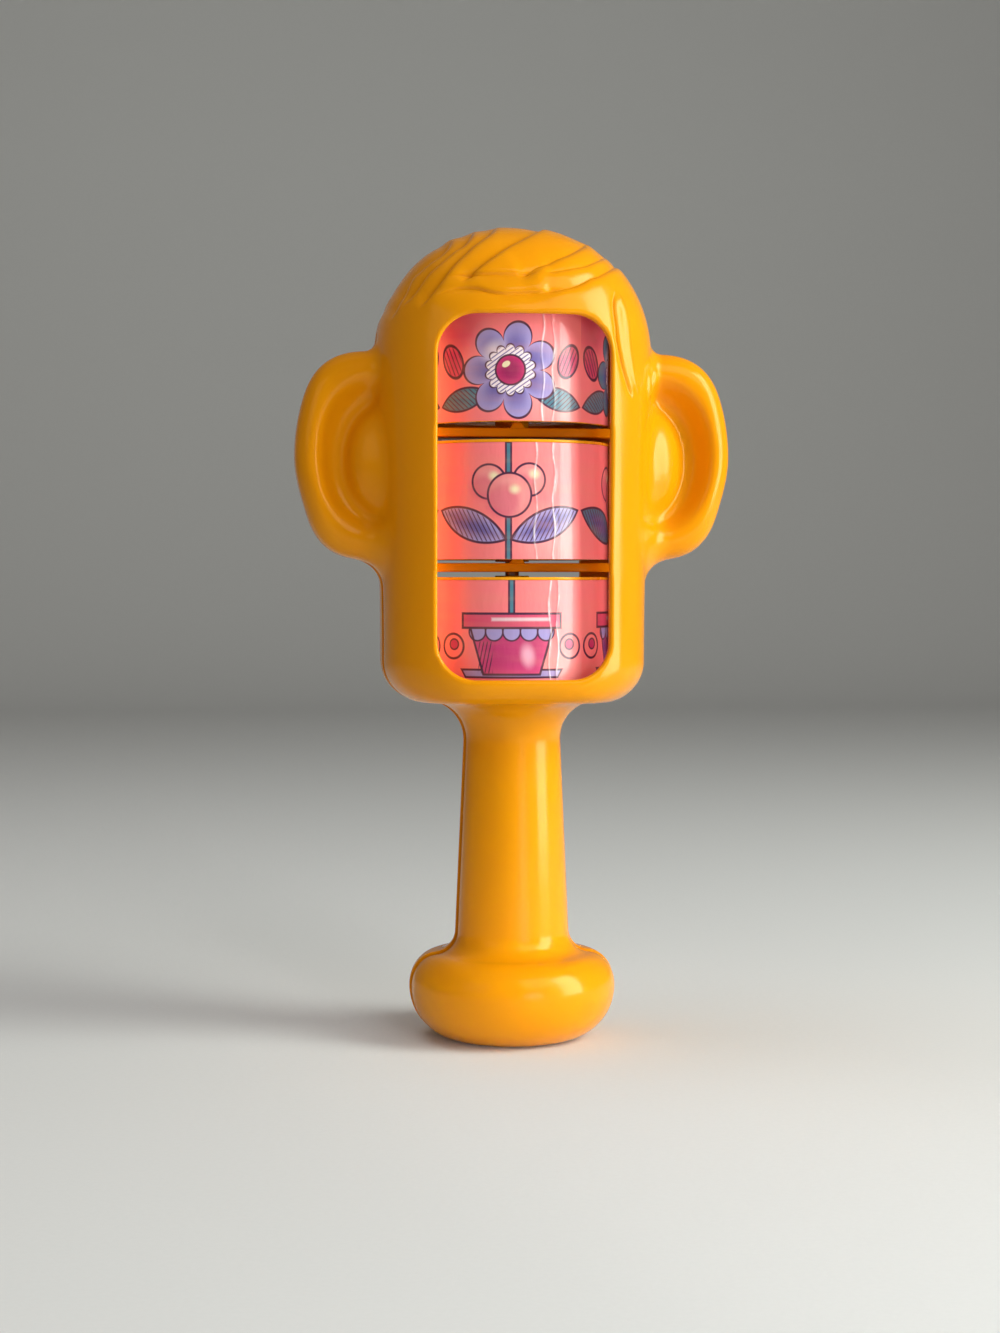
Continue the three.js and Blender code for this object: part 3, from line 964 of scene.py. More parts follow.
@dataclass
class CaseForm:
    """Smooth outside and inside of the moulded case, in millimetres."""

    head_top: float
    ear_reach: float
    stack_top: float
    head_bottom: float = 73.6
    wall: float = 2.0
    floor: float = 1.0
    jaw_half_width: float = 28.3
    jaw_half_depth: float = 24.0
    jaw_corner: float = 4.5
    jaw_side_corner: float = 8.6
    corner_start: float = 0.4
    corner_spread: float = 0.5
    chamber_corner: float = 1.8
    chamber_edge: float = 0.4
    jaw_rise: float = 14.2
    brow_spread: float = 1.6
    brow_swell: float = 2.0
    brow_drop: float = 11.7
    dome_fullness: float = 2.2
    jaw_squareness: float = 2.7
    jaw_rear_squareness: float = 4.0
    dome_squareness: float = 2.4
    dome_rear_squareness: float = 2.9
    foot_radius: float = 12.0
    knob_radius: float = 22.5
    knob_widest: float = 11.5
    shoulder_radius: float = 16.5
    shoulder_height: float = 18.6
    handle_foot: float = 12.5
    handle_foot_height: float = 22.5
    handle_neck: float = 10.7
    handle_neck_height: float = 62.8
    neck_flare: float = 9.0
    knob_fillet: float = 4.5
    window_half_width: float = 18.1
    window_bottom: float = 78.9
    window_top: float = 154.6
    window_corner: float = 8.0
    window_edge: float = 0.9
    ear_root: float = 30.0
    ear_centre: float = 126.3
    ear_half_height: float = 22.3
    ear_half_depth: float = 7.5
    ear_round: float = 4.6
    ear_fullness: float = 2.8
    ear_lower_taper: float = 0.08
    ear_upper_taper: float = 0.04
    ear_taper_run: float = 0.6
    ear_fillet: float = 2.6
    lower_ear_fillet: float = 6.0
    ear_rim: float = 5.0
    ear_rim_height: float = 6.5
    bowl_half_width: float = 11.0
    bowl_half_depth: float = 7.5
    bowl_rise: float = 1.0
    bowl_edge: float = 2.2
    lobe_middle: Place = (28.5, -1.0, 124.8)
    lobe_halves: Place = (8.3, 8.6, 13.0)
    lobe_fillet: float = 3.0

    @property
    def brow(self) -> float:
        """Height at which the dome springs."""
        return self.stack_top - self.brow_drop

    def section(self, deep: Array, up: Array) -> tuple[Array, Array, Array]:
        """Level section of the head.

        Args:
            deep: How far behind the parting plane each place is.
            up: How high it is.

        Returns:
            Half width, half depth and squareness of the section there.
        """
        jaw_top = self.head_bottom + self.jaw_rise
        growth = ease((up - jaw_top) / (self.brow - jaw_top))
        jaw_power = np.where(deep < 0.0, self.jaw_squareness, self.jaw_rear_squareness)
        dome_power = np.where(deep < 0.0, self.dome_squareness, self.dome_rear_squareness)
        half_width = self.jaw_half_width + self.brow_spread * growth
        half_depth = self.jaw_half_depth + self.brow_swell * growth
        return half_width, half_depth, jaw_power + (dome_power - jaw_power) * growth

    def head(self, points: Array, inset: float, bottom: float, corner: float, side_corner: float) -> Array:
        """Distance to the head or, drawn in, to its chamber.

        Args:
            points: Places to measure from.
            inset: How far the head is drawn in.
            bottom: Height of its bottom.
            corner: Rounding of its bottom edge at the front and rear.
            side_corner: The same at the sides.

        Returns:
            Distance of each place, below 0 inside.
        """
        across, deep, up = points.T
        half_width, half_depth, power = self.section(deep, up)
        wide = np.abs(across / (half_width - inset)) ** power
        ring = (wide + np.abs(deep / (half_depth - inset)) ** power) ** (1.0 / power)
        above = np.maximum(up - self.brow, 0.0)
        rise = above / (self.head_top - inset - self.brow)
        value = (ring**self.dome_fullness + rise**self.dome_fullness) ** (1.0 / self.dome_fullness)
        side = ray_distance(value, np.sqrt(across**2 + deep**2 + above**2))
        return round_meet(side, bottom - up, self.corner_at(across, corner, side_corner))

    def corner_at(self, across: Array, corner: float, side_corner: float) -> Array:
        """Rounding of a bottom edge, which grows from its front and rear to its sides.

        Args:
            across: How far to the right each place is.
            corner: Rounding at the front and rear.
            side_corner: Rounding at the sides.

        Returns:
            The rounding at each place.
        """
        start = self.corner_start * self.jaw_half_width
        sideward = ease((np.abs(across) - start) / (self.corner_spread * self.jaw_half_width))
        return corner + (side_corner - corner) * sideward

    def stick(self, points: Array) -> Array:
        """Distance to the knob and handle.

        Args:
            points: Places to measure from.

        Returns:
            Distance of each place, below 0 inside.
        """
        across, deep, up = points.T
        radius = np.hypot(across, deep)
        below = up < self.knob_widest
        core = np.where(below, self.foot_radius, self.shoulder_radius)
        half = np.where(below, self.knob_widest, self.shoulder_height - self.knob_widest)
        out = np.maximum(radius - core, 0.0)
        rise = up - self.knob_widest
        value = np.hypot(out / (self.knob_radius - core), rise / half)
        knob = ray_distance(value, np.hypot(out, rise))
        share = (up - self.handle_foot_height) / (self.handle_neck_height - self.handle_foot_height)
        handle = radius - (self.handle_foot + (self.handle_neck - self.handle_foot) * share)
        ends = np.maximum(self.knob_widest - up, up - self.head_bottom - self.floor / 2)
        return fillet_join(knob, np.maximum(handle, ends), self.knob_fillet)

    def ears(self, points: Array) -> Array:
        """Distance to both ears: round-edged flaps with a bowl and a lobe.

        Args:
            points: Places to measure from.

        Returns:
            Distance of each place, below 0 inside.
        """
        across = np.abs(points[:, 0])
        right = np.column_stack([across, points[:, 1], points[:, 2]])
        out = np.maximum(across - self.ear_root, 0.0)
        rise = (points[:, 2] - self.ear_centre) / self.ear_half_height
        lower = self.ear_lower_taper * ease(-rise / self.ear_taper_run)
        upper = self.ear_upper_taper * ease(rise / self.ear_taper_run)
        reach = (self.ear_reach - self.ear_root) * (1.0 - lower - upper)
        power = self.ear_fullness
        value = ((out / reach) ** power + np.abs(rise) ** power) ** (1.0 / power)
        outline = ray_distance(value, np.hypot(out, points[:, 2] - self.ear_centre))
        flap = round_meet(outline, np.abs(points[:, 1]) - self.ear_half_depth, self.ear_round)
        bowl_out = self.ear_reach - self.ear_rim - self.bowl_half_width
        bowl_middle = (bowl_out, -self.ear_half_depth - self.bowl_rise, self.ear_centre)
        bowl_half_height = self.ear_half_height - self.ear_rim_height
        bowl = ellipsoid(right, bowl_middle, (self.bowl_half_width, self.bowl_half_depth, bowl_half_height))
        lobe = ellipsoid(right, self.lobe_middle, self.lobe_halves)
        return fillet_join(round_meet(flap, -bowl, self.bowl_edge), lobe, self.lobe_fillet)

    def outside(self, points: Array) -> Array:
        """Distance to the case's outer skin, before the windows are cut.

        Args:
            points: Places to measure from.

        Returns:
            Distance of each place, below 0 inside.
        """
        head = self.head(points, 0.0, self.head_bottom, self.jaw_corner, self.jaw_side_corner)
        body = fillet_join(head, self.stick(points), self.neck_flare)
        lower = ease((self.ear_centre - points[:, 2]) / self.ear_half_height)
        fillet = self.ear_fillet + (self.lower_ear_fillet - self.ear_fillet) * lower
        return fillet_join(body, self.ears(points), fillet)

    def window(self, points: Array) -> Array:
        """Distance to the outline of the windows, the same at any depth.

        Args:
            points: Places to measure from.

        Returns:
            Distance of each place, below 0 inside.
        """
        middle = (self.window_bottom + self.window_top) / 2
        half_height = (self.window_top - self.window_bottom) / 2
        wide = np.abs(points[:, 0]) - self.window_half_width + self.window_corner
        tall = np.abs(points[:, 2] - middle) - half_height + self.window_corner
        corner = np.hypot(np.maximum(wide, 0.0), np.maximum(tall, 0.0))
        return corner + np.minimum(np.maximum(wide, tall), 0.0) - self.window_corner

    def shell(self, points: Array, thicker: float = 0.0) -> Array:
        """Distance to the case's material: its walls with the windows cut.

        Args:
            points: Places to measure from.
            thicker: How much the walls are thickened inwards.

        Returns:
            Distance of each place, below 0 in the material.
        """
        floor = self.head_bottom + self.floor + thicker
        side_corner = self.jaw_side_corner - self.wall
        chamber = self.head(points, self.wall + thicker, floor, self.chamber_corner, side_corner)
        cut = round_meet(self.outside(points), -self.window(points), self.window_edge)
        return round_meet(cut, -chamber, self.chamber_edge)


# Lines between the locks: left of the parting, right of it, ends of the fringe, lock by the right ear
HAIR_GROOVES = (
    Groove(((-3.4, 176.0), (-7.7, 171.9), (-9.9, 170.2), (-12.1, 168.0), (-14.3, 165.8), (-18.2, 160.6),
            (-22.0, 155.6))),
    Groove(((-8.6, 175.0), (-12.1, 170.8), (-14.3, 169.1), (-18.0, 165.6), (-20.1, 163.6),
            (-25.0, 156.5))),
    Groove(((-13.6, 172.8), (-16.9, 169.1), (-19.3, 167.2), (-21.8, 165.0), (-23.8, 162.6),
            (-27.4, 154.0))),
    Groove(((7.4, 176.2), (0.7, 171.9), (-2.6, 169.9), (-5.1, 168.1), (-8.9, 165.2), (-13.5, 161.1))),
    Groove(((16.0, 172.2), (10.7, 168.7), (7.6, 167.2), (4.8, 165.7), (2.4, 164.6), (-1.4, 162.1)),
           0.75, 3.2, 0.8),
    Groove(((20.4, 169.6), (14.5, 166.2), (11.6, 165.2), (8.2, 164.3), (4.0, 163.4)), 0.50, 2.6, 0.7),
    Groove(((23.4, 168.0), (16.9, 163.9), (14.2, 162.7), (11.7, 161.3), (9.0, 160.3), (2.9, 159.2)),
           0.85, 3.0, 0.7),
    ledge(((4.5, 165.0), (0.6, 163.4), (-7.7, 163.0), (-12.6, 163.0), (-17.5, 162.2)), 0.85),
    ledge(((9.0, 160.3), (3.9, 159.3), (-1.5, 159.0), (-5.0, 158.8), (-8.0, 159.3), (-10.8, 160.0),
           (-14.7, 159.8), (-20.5, 157.6)), 0.8),
    Groove(((19.3, 160.6), (18.9, 156.8), (19.2, 152.6), (19.6, 148.6), (21.0, 143.3), (23.4, 137.0)),
           0.5, 0.4, 0.4, 0.3),
    Groove(((19.5, 160.6), (21.2, 156.8), (21.8, 153.4), (22.2, 148.8), (23.2, 143.4), (24.9, 138.0)),
           -0.45, 0.5, 0.5, 0.0),
)

# Middle and half sizes of the small lock ends over the right ear
SIDE_LOCKS = (
    ((27.9, -12.3, 141.2), (1.3, 1.6, 3.6)),
    ((29.9, -8.2, 141.6), (1.5, 1.5, 3.6)),
)

# Middle height and half length of the slits worn in the handle's left seam
WORN_SLITS = ((45.2, 1.9), (56.6, 0.7))


@dataclass
class Case:
    """The two case mouldings: smooth shells parted at the plane through the axle."""

    form: CaseForm
    finish: Material
    voxel: float = 0.8
    first_voxel: float = 0.92
    spare: float = 1.0
    skin: float = 0.5
    bottom_degrees: tuple[float, ...] = (20.0, 45.0, 70.0, 90.0)
    dome_shares: tuple[float, ...] = (0.4, 0.65, 0.82, 0.93, 0.985)
    parting_gap: float = 0.16
    hair_end: float = 134.0
    hair_lift: float = 0.40
    hair_side: float = 31.5
    hair_side_fade: float = 1.5
    hair_rim_fade: float = 1.2
    hair_skin: float = 0.15
    fringe_end: float = 150.0
    fine_hair_depth: float = 8.0
    groove_reach: float = 0.9
    window_reach: float = 1.6
    lock_inner: float = 17.0
    lock_outer: float = 34.0
    side_lock_height: float = 0.7
    seam_skin: float = 0.3
    seam_step: float = 0.6
    seam_reach: float = 5.5
    seam_side: float = 33.0
    seam_side_fade: float = 3.0
    seam_end: float = 156.0
    seam_fade: float = 14.0
    slit_edge: float = 0.8
    slit_depth: float = 0.22

    def rings(self, inset: float, bottom: float, corner: float, side_corner: float) -> Shape:
        """Rough head block: a ring drawn up level by level, to be settled on the form later.

        Args:
            inset: How far the head is drawn in.
            bottom: Height of its bottom.
            corner: Rounding of its bottom edge at the front and rear.
            side_corner: The same at the sides.

        Returns:
            The closed block.
        """
        form = self.form
        shape = bmesh.new()
        bmesh.ops.create_circle(shape, cap_ends=True, segments=64, radius=1.0)
        ring = list(shape.verts)
        edges = list(shape.edges)
        for vertex in ring:
            vertex.co = self.ring_point(vertex.co, bottom, inset + side_corner)
        for degrees in self.bottom_degrees:
            turn = math.radians(degrees)
            ring, edges = self.draw_up(shape, edges)
            for vertex in ring:
                widest = self.ring_point(vertex.co, bottom + side_corner, inset)
                radius = float(form.corner_at(np.array(widest.x), corner, side_corner))
                level = bottom + radius * (1.0 - math.cos(turn))
                vertex.co = self.ring_point(vertex.co, level, inset + radius * (1.0 - math.sin(turn)))
        dome = form.head_top - inset - form.brow
        levels = [(bottom + form.brow) / 2, form.brow]
        levels += [form.brow + dome * share for share in self.dome_shares]
        for level in levels:
            ring, edges = self.draw_up(shape, edges)
            for vertex in ring:
                vertex.co = self.ring_point(vertex.co, level, inset)
        bmesh.ops.contextual_create(shape, geom=edges)
        bmesh.ops.recalc_face_normals(shape, faces=shape.faces)
        stretch(shape, shape.verts, (1.0, 1.0, 1.0))
        return shape

    @staticmethod
    def draw_up(shape: Shape, edges: list[bmesh.types.BMEdge]) -> tuple[list, list]:
        """Extrude a ring of edges and return the new ring's vertices and edges.

        Args:
            shape: The bmesh.
            edges: The ring's edges.

        Returns:
            The new ring's vertices and its edges.
        """
        drawn = bmesh.ops.extrude_edge_only(shape, edges=edges)["geom"]
        ring = [item for item in drawn if isinstance(item, bmesh.types.BMVert)]
        return ring, [item for item in drawn if isinstance(item, bmesh.types.BMEdge)]

    def ring_point(self, direction: Vector, level: float, inset: float) -> Vector:
        """Place on the head's outline.

        Args:
            direction: Direction from the axis.
            level: Height.
            inset: How far the outline is drawn in.

        Returns:
            The place in that direction, in millimetres.
        """
        form = self.form
        rise = max(0.0, level - form.brow) / (form.head_top - min(inset, form.wall) - form.brow)
        closing = (1.0 - rise**form.dome_fullness) ** (1.0 / form.dome_fullness)
        flat = Vector((direction.x, direction.y, 0.0)).normalized()
        half_width, half_depth, power = form.section(np.array(flat.y), np.array(level))
        wide = abs(flat.x / (half_width - inset)) ** power
        measure = (wide + abs(flat.y / (half_depth - inset)) ** power) ** (1.0 / power)
        return flat * (closing / measure) + Vector((0.0, 0.0, level))

    def rough_block(self) -> bpy.types.Mesh:
        """Rough case with its windows, chamber, handle and ears, as overlapping blocks.

        Returns:
            One mesh of all the blocks.
        """
        form = self.form
        outer = self.rings(0.0, form.head_bottom, form.jaw_corner, form.jaw_side_corner)
        head = new_object("rough_head", mesh_from("rough_head", outer))
        floor = form.head_bottom + form.floor + self.spare
        side_corner = form.jaw_side_corner - form.wall
        inner = self.rings(form.wall + self.spare, floor, form.chamber_corner, side_corner)
        chamber = new_object("rough_chamber", mesh_from("rough_chamber", inner))
        window = new_object("rough_window", mesh_from("rough_window", self.window_cutter()))
        for tool in (chamber, window):
            cut = head.modifiers.new(tool.name, "BOOLEAN")
            cut.operation = "DIFFERENCE"
            cut.solver = "EXACT"
            cut.object = tool
        joined = bmesh.new()
        joined.from_mesh(self.evaluated(head))
        self.add_stick(joined)
        for side in (-1.0, 1.0):
            self.add_ear(joined, side)
        for spent in (head, chamber, window):
            bpy.data.objects.remove(spent)
        return mesh_from("rough_block", joined)

    def window_cutter(self) -> Shape:
        """Block with round corners that cuts both windows.

        Returns:
            The block.
        """
        form = self.form
        cutter = bmesh.new()
        bmesh.ops.create_cube(cutter, size=1.0)
        height = form.window_top - form.window_bottom
        stretch(cutter, cutter.verts, (2 * form.window_half_width, 4 * form.jaw_half_depth, height))
        move(cutter, cutter.verts, (0.0, 0.0, form.window_bottom + height / 2))
        through = [edge for edge in cutter.edges if abs(edge.verts[0].co.y - edge.verts[1].co.y) > MM]
        round_edges(cutter, through, form.window_corner, steps=8)
        return cutter

    def add_stick(self, shape: Shape) -> None:
        """Add a rough knob and a rough handle that overlaps the head's floor.

        Args:
            shape: The bmesh.
        """
        form = self.form
        knob = bmesh.ops.create_uvsphere(shape, u_segments=48, v_segments=24, radius=1.0)["verts"]
        half = form.shoulder_height / 2
        stretch(shape, knob, (form.knob_radius, form.knob_radius, half))
        move(shape, knob, (0.0, 0.0, half))
        flare_radius = form.handle_neck + form.neck_flare / 2
        flare_bottom = form.head_bottom - form.neck_flare
        self.add_cone(shape, form.handle_neck, flare_radius, flare_bottom, form.neck_flare)
        length = form.head_bottom + form.floor / 2 - form.knob_widest
        self.add_cone(shape, form.handle_foot, form.handle_neck, form.knob_widest, length)

    @staticmethod
    def add_cone(shape: Shape, foot: float, top: float, bottom: float, length: float) -> None:
        """Add an upright cone from its radii, the height of its foot and its length."""
        cone = bmesh.ops.create_cone(shape, cap_ends=True, segments=48, radius1=foot * MM,
                                     radius2=top * MM, depth=length * MM)["verts"]
        move(shape, cone, (0.0, 0.0, bottom + length / 2))

    def add_ear(self, shape: Shape, side: float) -> None:
        """Add a rough ear on a side, with its flap and its lobe, that overlaps the head's wall.

        Args:
            shape: The bmesh.
            side: -1 for the left ear, 1 for the right one.
        """
        form = self.form
        flap = bmesh.ops.create_cone(shape, cap_ends=True, segments=48, radius1=1.0, radius2=1.0,
                                     depth=1.8, matrix=Matrix.Rotation(math.pi / 2, 4, "X"))["verts"]
        for vertex in flap:
            vertex.co.x = max(vertex.co.x, -0.1)
        stretch(shape, flap, (side * (form.ear_reach - form.ear_root), form.ear_half_depth,
                              form.ear_half_height))
        move(shape, flap, (side * form.ear_root, 0.0, form.ear_centre))
        lobe = bmesh.ops.create_uvsphere(shape, u_segments=32, v_segments=16, radius=1.0)["verts"]
        stretch(shape, lobe, form.lobe_halves)
        across, deep, up = form.lobe_middle
        move(shape, lobe, (side * across, deep, up))

    def voxel_mesh(self, mesh: bpy.types.Mesh, size: float) -> Shape:
        """Closed even bmesh round everything in a mesh, with faces of about a size in millimetres.

        Args:
            mesh: The mesh, which may be several blocks.
            size: Size of a face.

        Returns:
            The bmesh.
        """
        block = new_object("voxel_block", mesh)
        remesh = block.modifiers.new("voxels", "REMESH")
        remesh.mode = "VOXEL"
        remesh.voxel_size = size * MM
        shape = bmesh.new()
        shape.from_mesh(self.evaluated(block))
        bpy.data.objects.remove(block)
        return shape

    @staticmethod
    def evaluated(piece: bpy.types.Object) -> bpy.types.Mesh:
        """Mesh of a piece with its modifiers applied."""
        graph = bpy.context.evaluated_depsgraph_get()
        return bpy.data.meshes.new_from_object(piece.evaluated_get(graph))

    def settle(self, points: Array, rounds: int, thicker: float = 0.0) -> Array:
        """Move points onto the case's surface.

        Args:
            points: Places in millimetres.
            rounds: How many steps are taken.
            thicker: How much the walls are thickened inwards.

        Returns:
            The places on the surface.
        """
        def measure(places: Array) -> Array:
            """Distance to the walls."""
            return self.form.shell(places, thicker)

        for _ in range(rounds):
            slope = self.slope(measure, points)
            steep = np.maximum((slope**2).sum(1), 0.05)
            step = measure(points) / steep
            points = points - np.clip(step, -2.0, 2.0)[:, None] * slope
        return points

    @staticmethod
    def slope(measure: Callable[[Array], Array], points: Array, reach: float = 0.02) -> Array:
        """Gradient of a distance.

        Args:
            measure: Gives the distance at places.
            points: Places in millimetres.
            reach: How far to each side the distance is taken.

        Returns:
            The gradient at each place.
        """
        parts = []
        for axis in np.eye(3) * reach:
            parts.append((measure(points + axis) - measure(points - axis)) / (2 * reach))
        return np.stack(parts, axis=1)

    def on_skin(self, points: Array, reach: float) -> Array:
        """True within a reach of the case's outer skin."""
        return np.abs(self.form.outside(points)) < reach

    def hair(self, points: Array) -> Array:
        """Height of the moulded hair over the head's smooth skin.

        Args:
            points: Places in millimetres.

        Returns:
            Height at each place, below 0 in a groove.
        """
        relief = np.zeros(len(points))
        skin = np.flatnonzero(self.on_skin(points, self.hair_skin) & (points[:, 2] > self.hair_end))
        across, _, up = points[skin].T
        carved = np.zeros(len(skin))
        for groove in HAIR_GROOVES:
            carved += groove.relief(across, up)
        ear_room = ease((self.hair_side - np.abs(across)) / self.hair_side_fade)
        rim_room = ease(self.form.window(points[skin]) / self.hair_rim_fade)
        relief[skin] = np.minimum(carved, self.hair_lift) * ear_room * rim_room
        for middle, halves in SIDE_LOCKS:
            gap = (((points - np.array(middle)) / np.array(halves)) ** 2).sum(1)
            relief += self.side_lock_height * ease(1.0 - gap)
        return relief

    def smooth_shape(self) -> Shape:
        """The whole case as one smooth closed bmesh, hair and all.

        Returns:
            The bmesh.
        """
        shape = self.voxel_mesh(self.rough_block(), self.first_voxel)
        self.write(shape, self.settle(self.read(shape), rounds=8, thicker=self.spare))
        shape = self.voxel_mesh(mesh_from("settled", shape), self.voxel)
        self.write(shape, self.settle(self.read(shape), rounds=3))
        for _ in range(2):
            for _ in range(3):
                bmesh.ops.smooth_vert(shape, verts=shape.verts, factor=0.5, use_axis_x=True,
                                      use_axis_y=True, use_axis_z=True)
            points = self.settle(self.read(shape), rounds=3)
            self.write(shape, points)
        self.refine(shape, self.needs_detail(points))
        self.refine(shape, self.near_groove(self.read(shape)))
        points = self.settle(self.read(shape), rounds=3)
        normals = self.slope(self.form.outside, points)
        normals /= np.linalg.norm(normals, axis=1)[:, None]
        self.write(shape, points + normals * self.hair(points)[:, None])
        return shape

    @staticmethod
    def refine(shape: Shape, fine: Array) -> None:
        """Cut the faces finer whose corners are all marked.

        Args:
            shape: The bmesh.
            fine: True for each marked vertex.
        """
        shape.verts.index_update()
        faces = [face for face in shape.faces if all(fine[vertex.index] for vertex in face.verts)]
        edges = list({edge for face in faces for edge in face.edges})
        bmesh.ops.subdivide_edges(shape, edges=edges, cuts=1, use_grid_fill=True)
        shape.verts.index_update()

    def near_groove(self, points: Array) -> Array:
        """True close to a line between locks of hair on the front.

        Args:
            points: Places in millimetres.

        Returns:
            True or false for each place.
        """
        near = np.zeros(len(points), dtype=bool)
        front = (points[:, 2] > self.hair_end) & (points[:, 1] < self.fine_hair_depth)
        skin = np.flatnonzero(self.on_skin(points, self.skin) & front)
        for groove in HAIR_GROOVES:
            gap, _ = groove.measure(points[skin, 0], points[skin, 2])
            near[skin] |= np.abs(gap) < self.groove_reach
        return near

    def needs_detail(self, points: Array) -> Array:
        """True where the surface holds hair or the rounded edge of a window.

        Args:
            points: Places in millimetres.

        Returns:
            True or false for each place.
        """
        across, deep, up = points.T
        skin = self.on_skin(points, self.skin)
        hair = skin & (up > self.fringe_end) & (deep < self.fine_hair_depth)
        lock = skin & (up > self.hair_end) & (across > self.lock_inner) & (across < self.lock_outer)
        rim = np.abs(self.form.window(points)) < self.window_reach
        return hair | lock | rim

    @staticmethod
    def read(shape: Shape) -> Array:
        """Places of a bmesh's vertices, in millimetres."""
        return np.array([vertex.co for vertex in shape.verts]) / MM

    @staticmethod
    def write(shape: Shape, points: Array) -> None:
        """Put a bmesh's vertices at places given in millimetres."""
        for vertex, point in zip(shape.verts, points * MM):
            vertex.co = point

    def stepped(self, points: Array) -> Array:
        """Draw the front moulding's outer edge in along the seam, so the rear one shows beyond it.

        Args:
            points: Places on the front moulding, in millimetres.

        Returns:
            The places with the step and the worn slits.
        """
        across, deep, up = points.T
        edge = 1.0 + (deep + self.parting_gap / 2) / self.seam_reach
        skin = self.on_skin(points, self.seam_skin)
        ear_room = ease((self.seam_side - np.abs(across)) / self.seam_side_fade)
        room = ear_room * ease((self.seam_end - up) / self.seam_fade)
        drop = np.where(skin, self.seam_step * np.maximum(edge, 0.0) ** 2, 0.0) * room
        outward = self.slope(self.form.outside, points)
        outward[:, 1] = 0.0
        outward /= np.maximum(np.linalg.norm(outward, axis=1), 0.1)[:, None]
        moved = points - outward * drop[:, None]
        left = (across < 0.0) & skin & (edge > self.slit_edge)
        for middle, half in WORN_SLITS:
            moved[:, 1] -= np.where(left, self.slit_depth * ease(1.5 - np.abs(up - middle) / half), 0.0)
        return moved

    def half(self, whole: Shape, side: float) -> Shape:
        """One moulding: the part of the case on one side of the parting plane, closed there.

        Args:
            whole: The whole case.
            side: -1 for the front moulding, 1 for the rear one.

        Returns:
            The moulding.
        """
        shape = whole.copy()
        geometry = [*shape.verts, *shape.edges, *shape.faces]
        plane = Vector((0.0, side * self.parting_gap / 2 * MM, 0.0))
        cut = bmesh.ops.bisect_plane(shape, geom=geometry, dist=1e-6, plane_co=plane,
                                     plane_no=Vector((0.0, -side, 0.0)), clear_outer=True)["geom_cut"]
        edges = [item for item in cut if isinstance(item, bmesh.types.BMEdge)]
        for face in shape.faces:
            face.smooth = True
        if side < 0.0:
            self.write(shape, self.stepped(self.read(shape)))
        bmesh.ops.triangle_fill(shape, use_beauty=True, edges=edges, normal=Vector((0.0, -side, 0.0)))
        bmesh.ops.recalc_face_normals(shape, faces=shape.faces)
        return shape

    def build(self) -> None:
        """Model both mouldings and put them in the scene."""
        whole = self.smooth_shape()
        for name, side in (("front_shell", -1.0), ("rear_shell", 1.0)):
            moulding = self.half(whole, side)
            add_piece(f"smooth_{name}", moulding, self.finish, Body.HOUSING, "case_plastic", name)
        whole.free()


@dataclass
class Partition:
    """A shelf between two drums, with a small click nub on its front edge."""

    name: str
    bottom: float
    form: CaseForm
    finish: Material
    thickness: float = 1.9
    wall_sink: float = 0.6
    half_depth: float = 10.0
    edge: float = 0.35
    nub_base: float = 3.7
    nub_top: float = 1.7
    nub_height: float = 1.2
    nub_sink: float = 0.4
    nub_depth: float = 3.0
    nub_set_back: float = 0.2
    nub_edge: float = 0.3

    def build(self) -> None:
        """Model the shelf and its nub as one piece."""
        wall_at = float(self.form.section(np.array(0.0), np.array(self.bottom))[0]) - self.form.wall
        top = self.bottom + self.thickness
        shape = bmesh.new()
        shelf = bmesh.ops.create_cube(shape, size=1.0)["verts"]
        stretch(shape, shelf, (2 * (wall_at + self.wall_sink), 2 * self.half_depth, self.thickness))
        move(shape, shelf, (0.0, 0.0, self.bottom + self.thickness / 2))
        round_edges(shape, shape.edges[:], self.edge)
        nub = bmesh.ops.create_cube(shape, size=1.0)["verts"]
        middle = self.nub_set_back + self.nub_depth / 2 - self.half_depth
        for vertex in nub:
            high = vertex.co.z > 0.0
            width = self.nub_top if high else self.nub_base
            up = top + (self.nub_height if high else -self.nub_sink)
            vertex.co = Vector((vertex.co.x * width, vertex.co.y * self.nub_depth + middle, up)) * MM
        edges = list({edge for vertex in nub for edge in vertex.link_edges})
        round_edges(shape, edges, self.nub_edge)
        shade(shape)
        add_piece(self.name, shape, self.finish, Body.HOUSING, "case_plastic", "front_shell", "rear_shell")


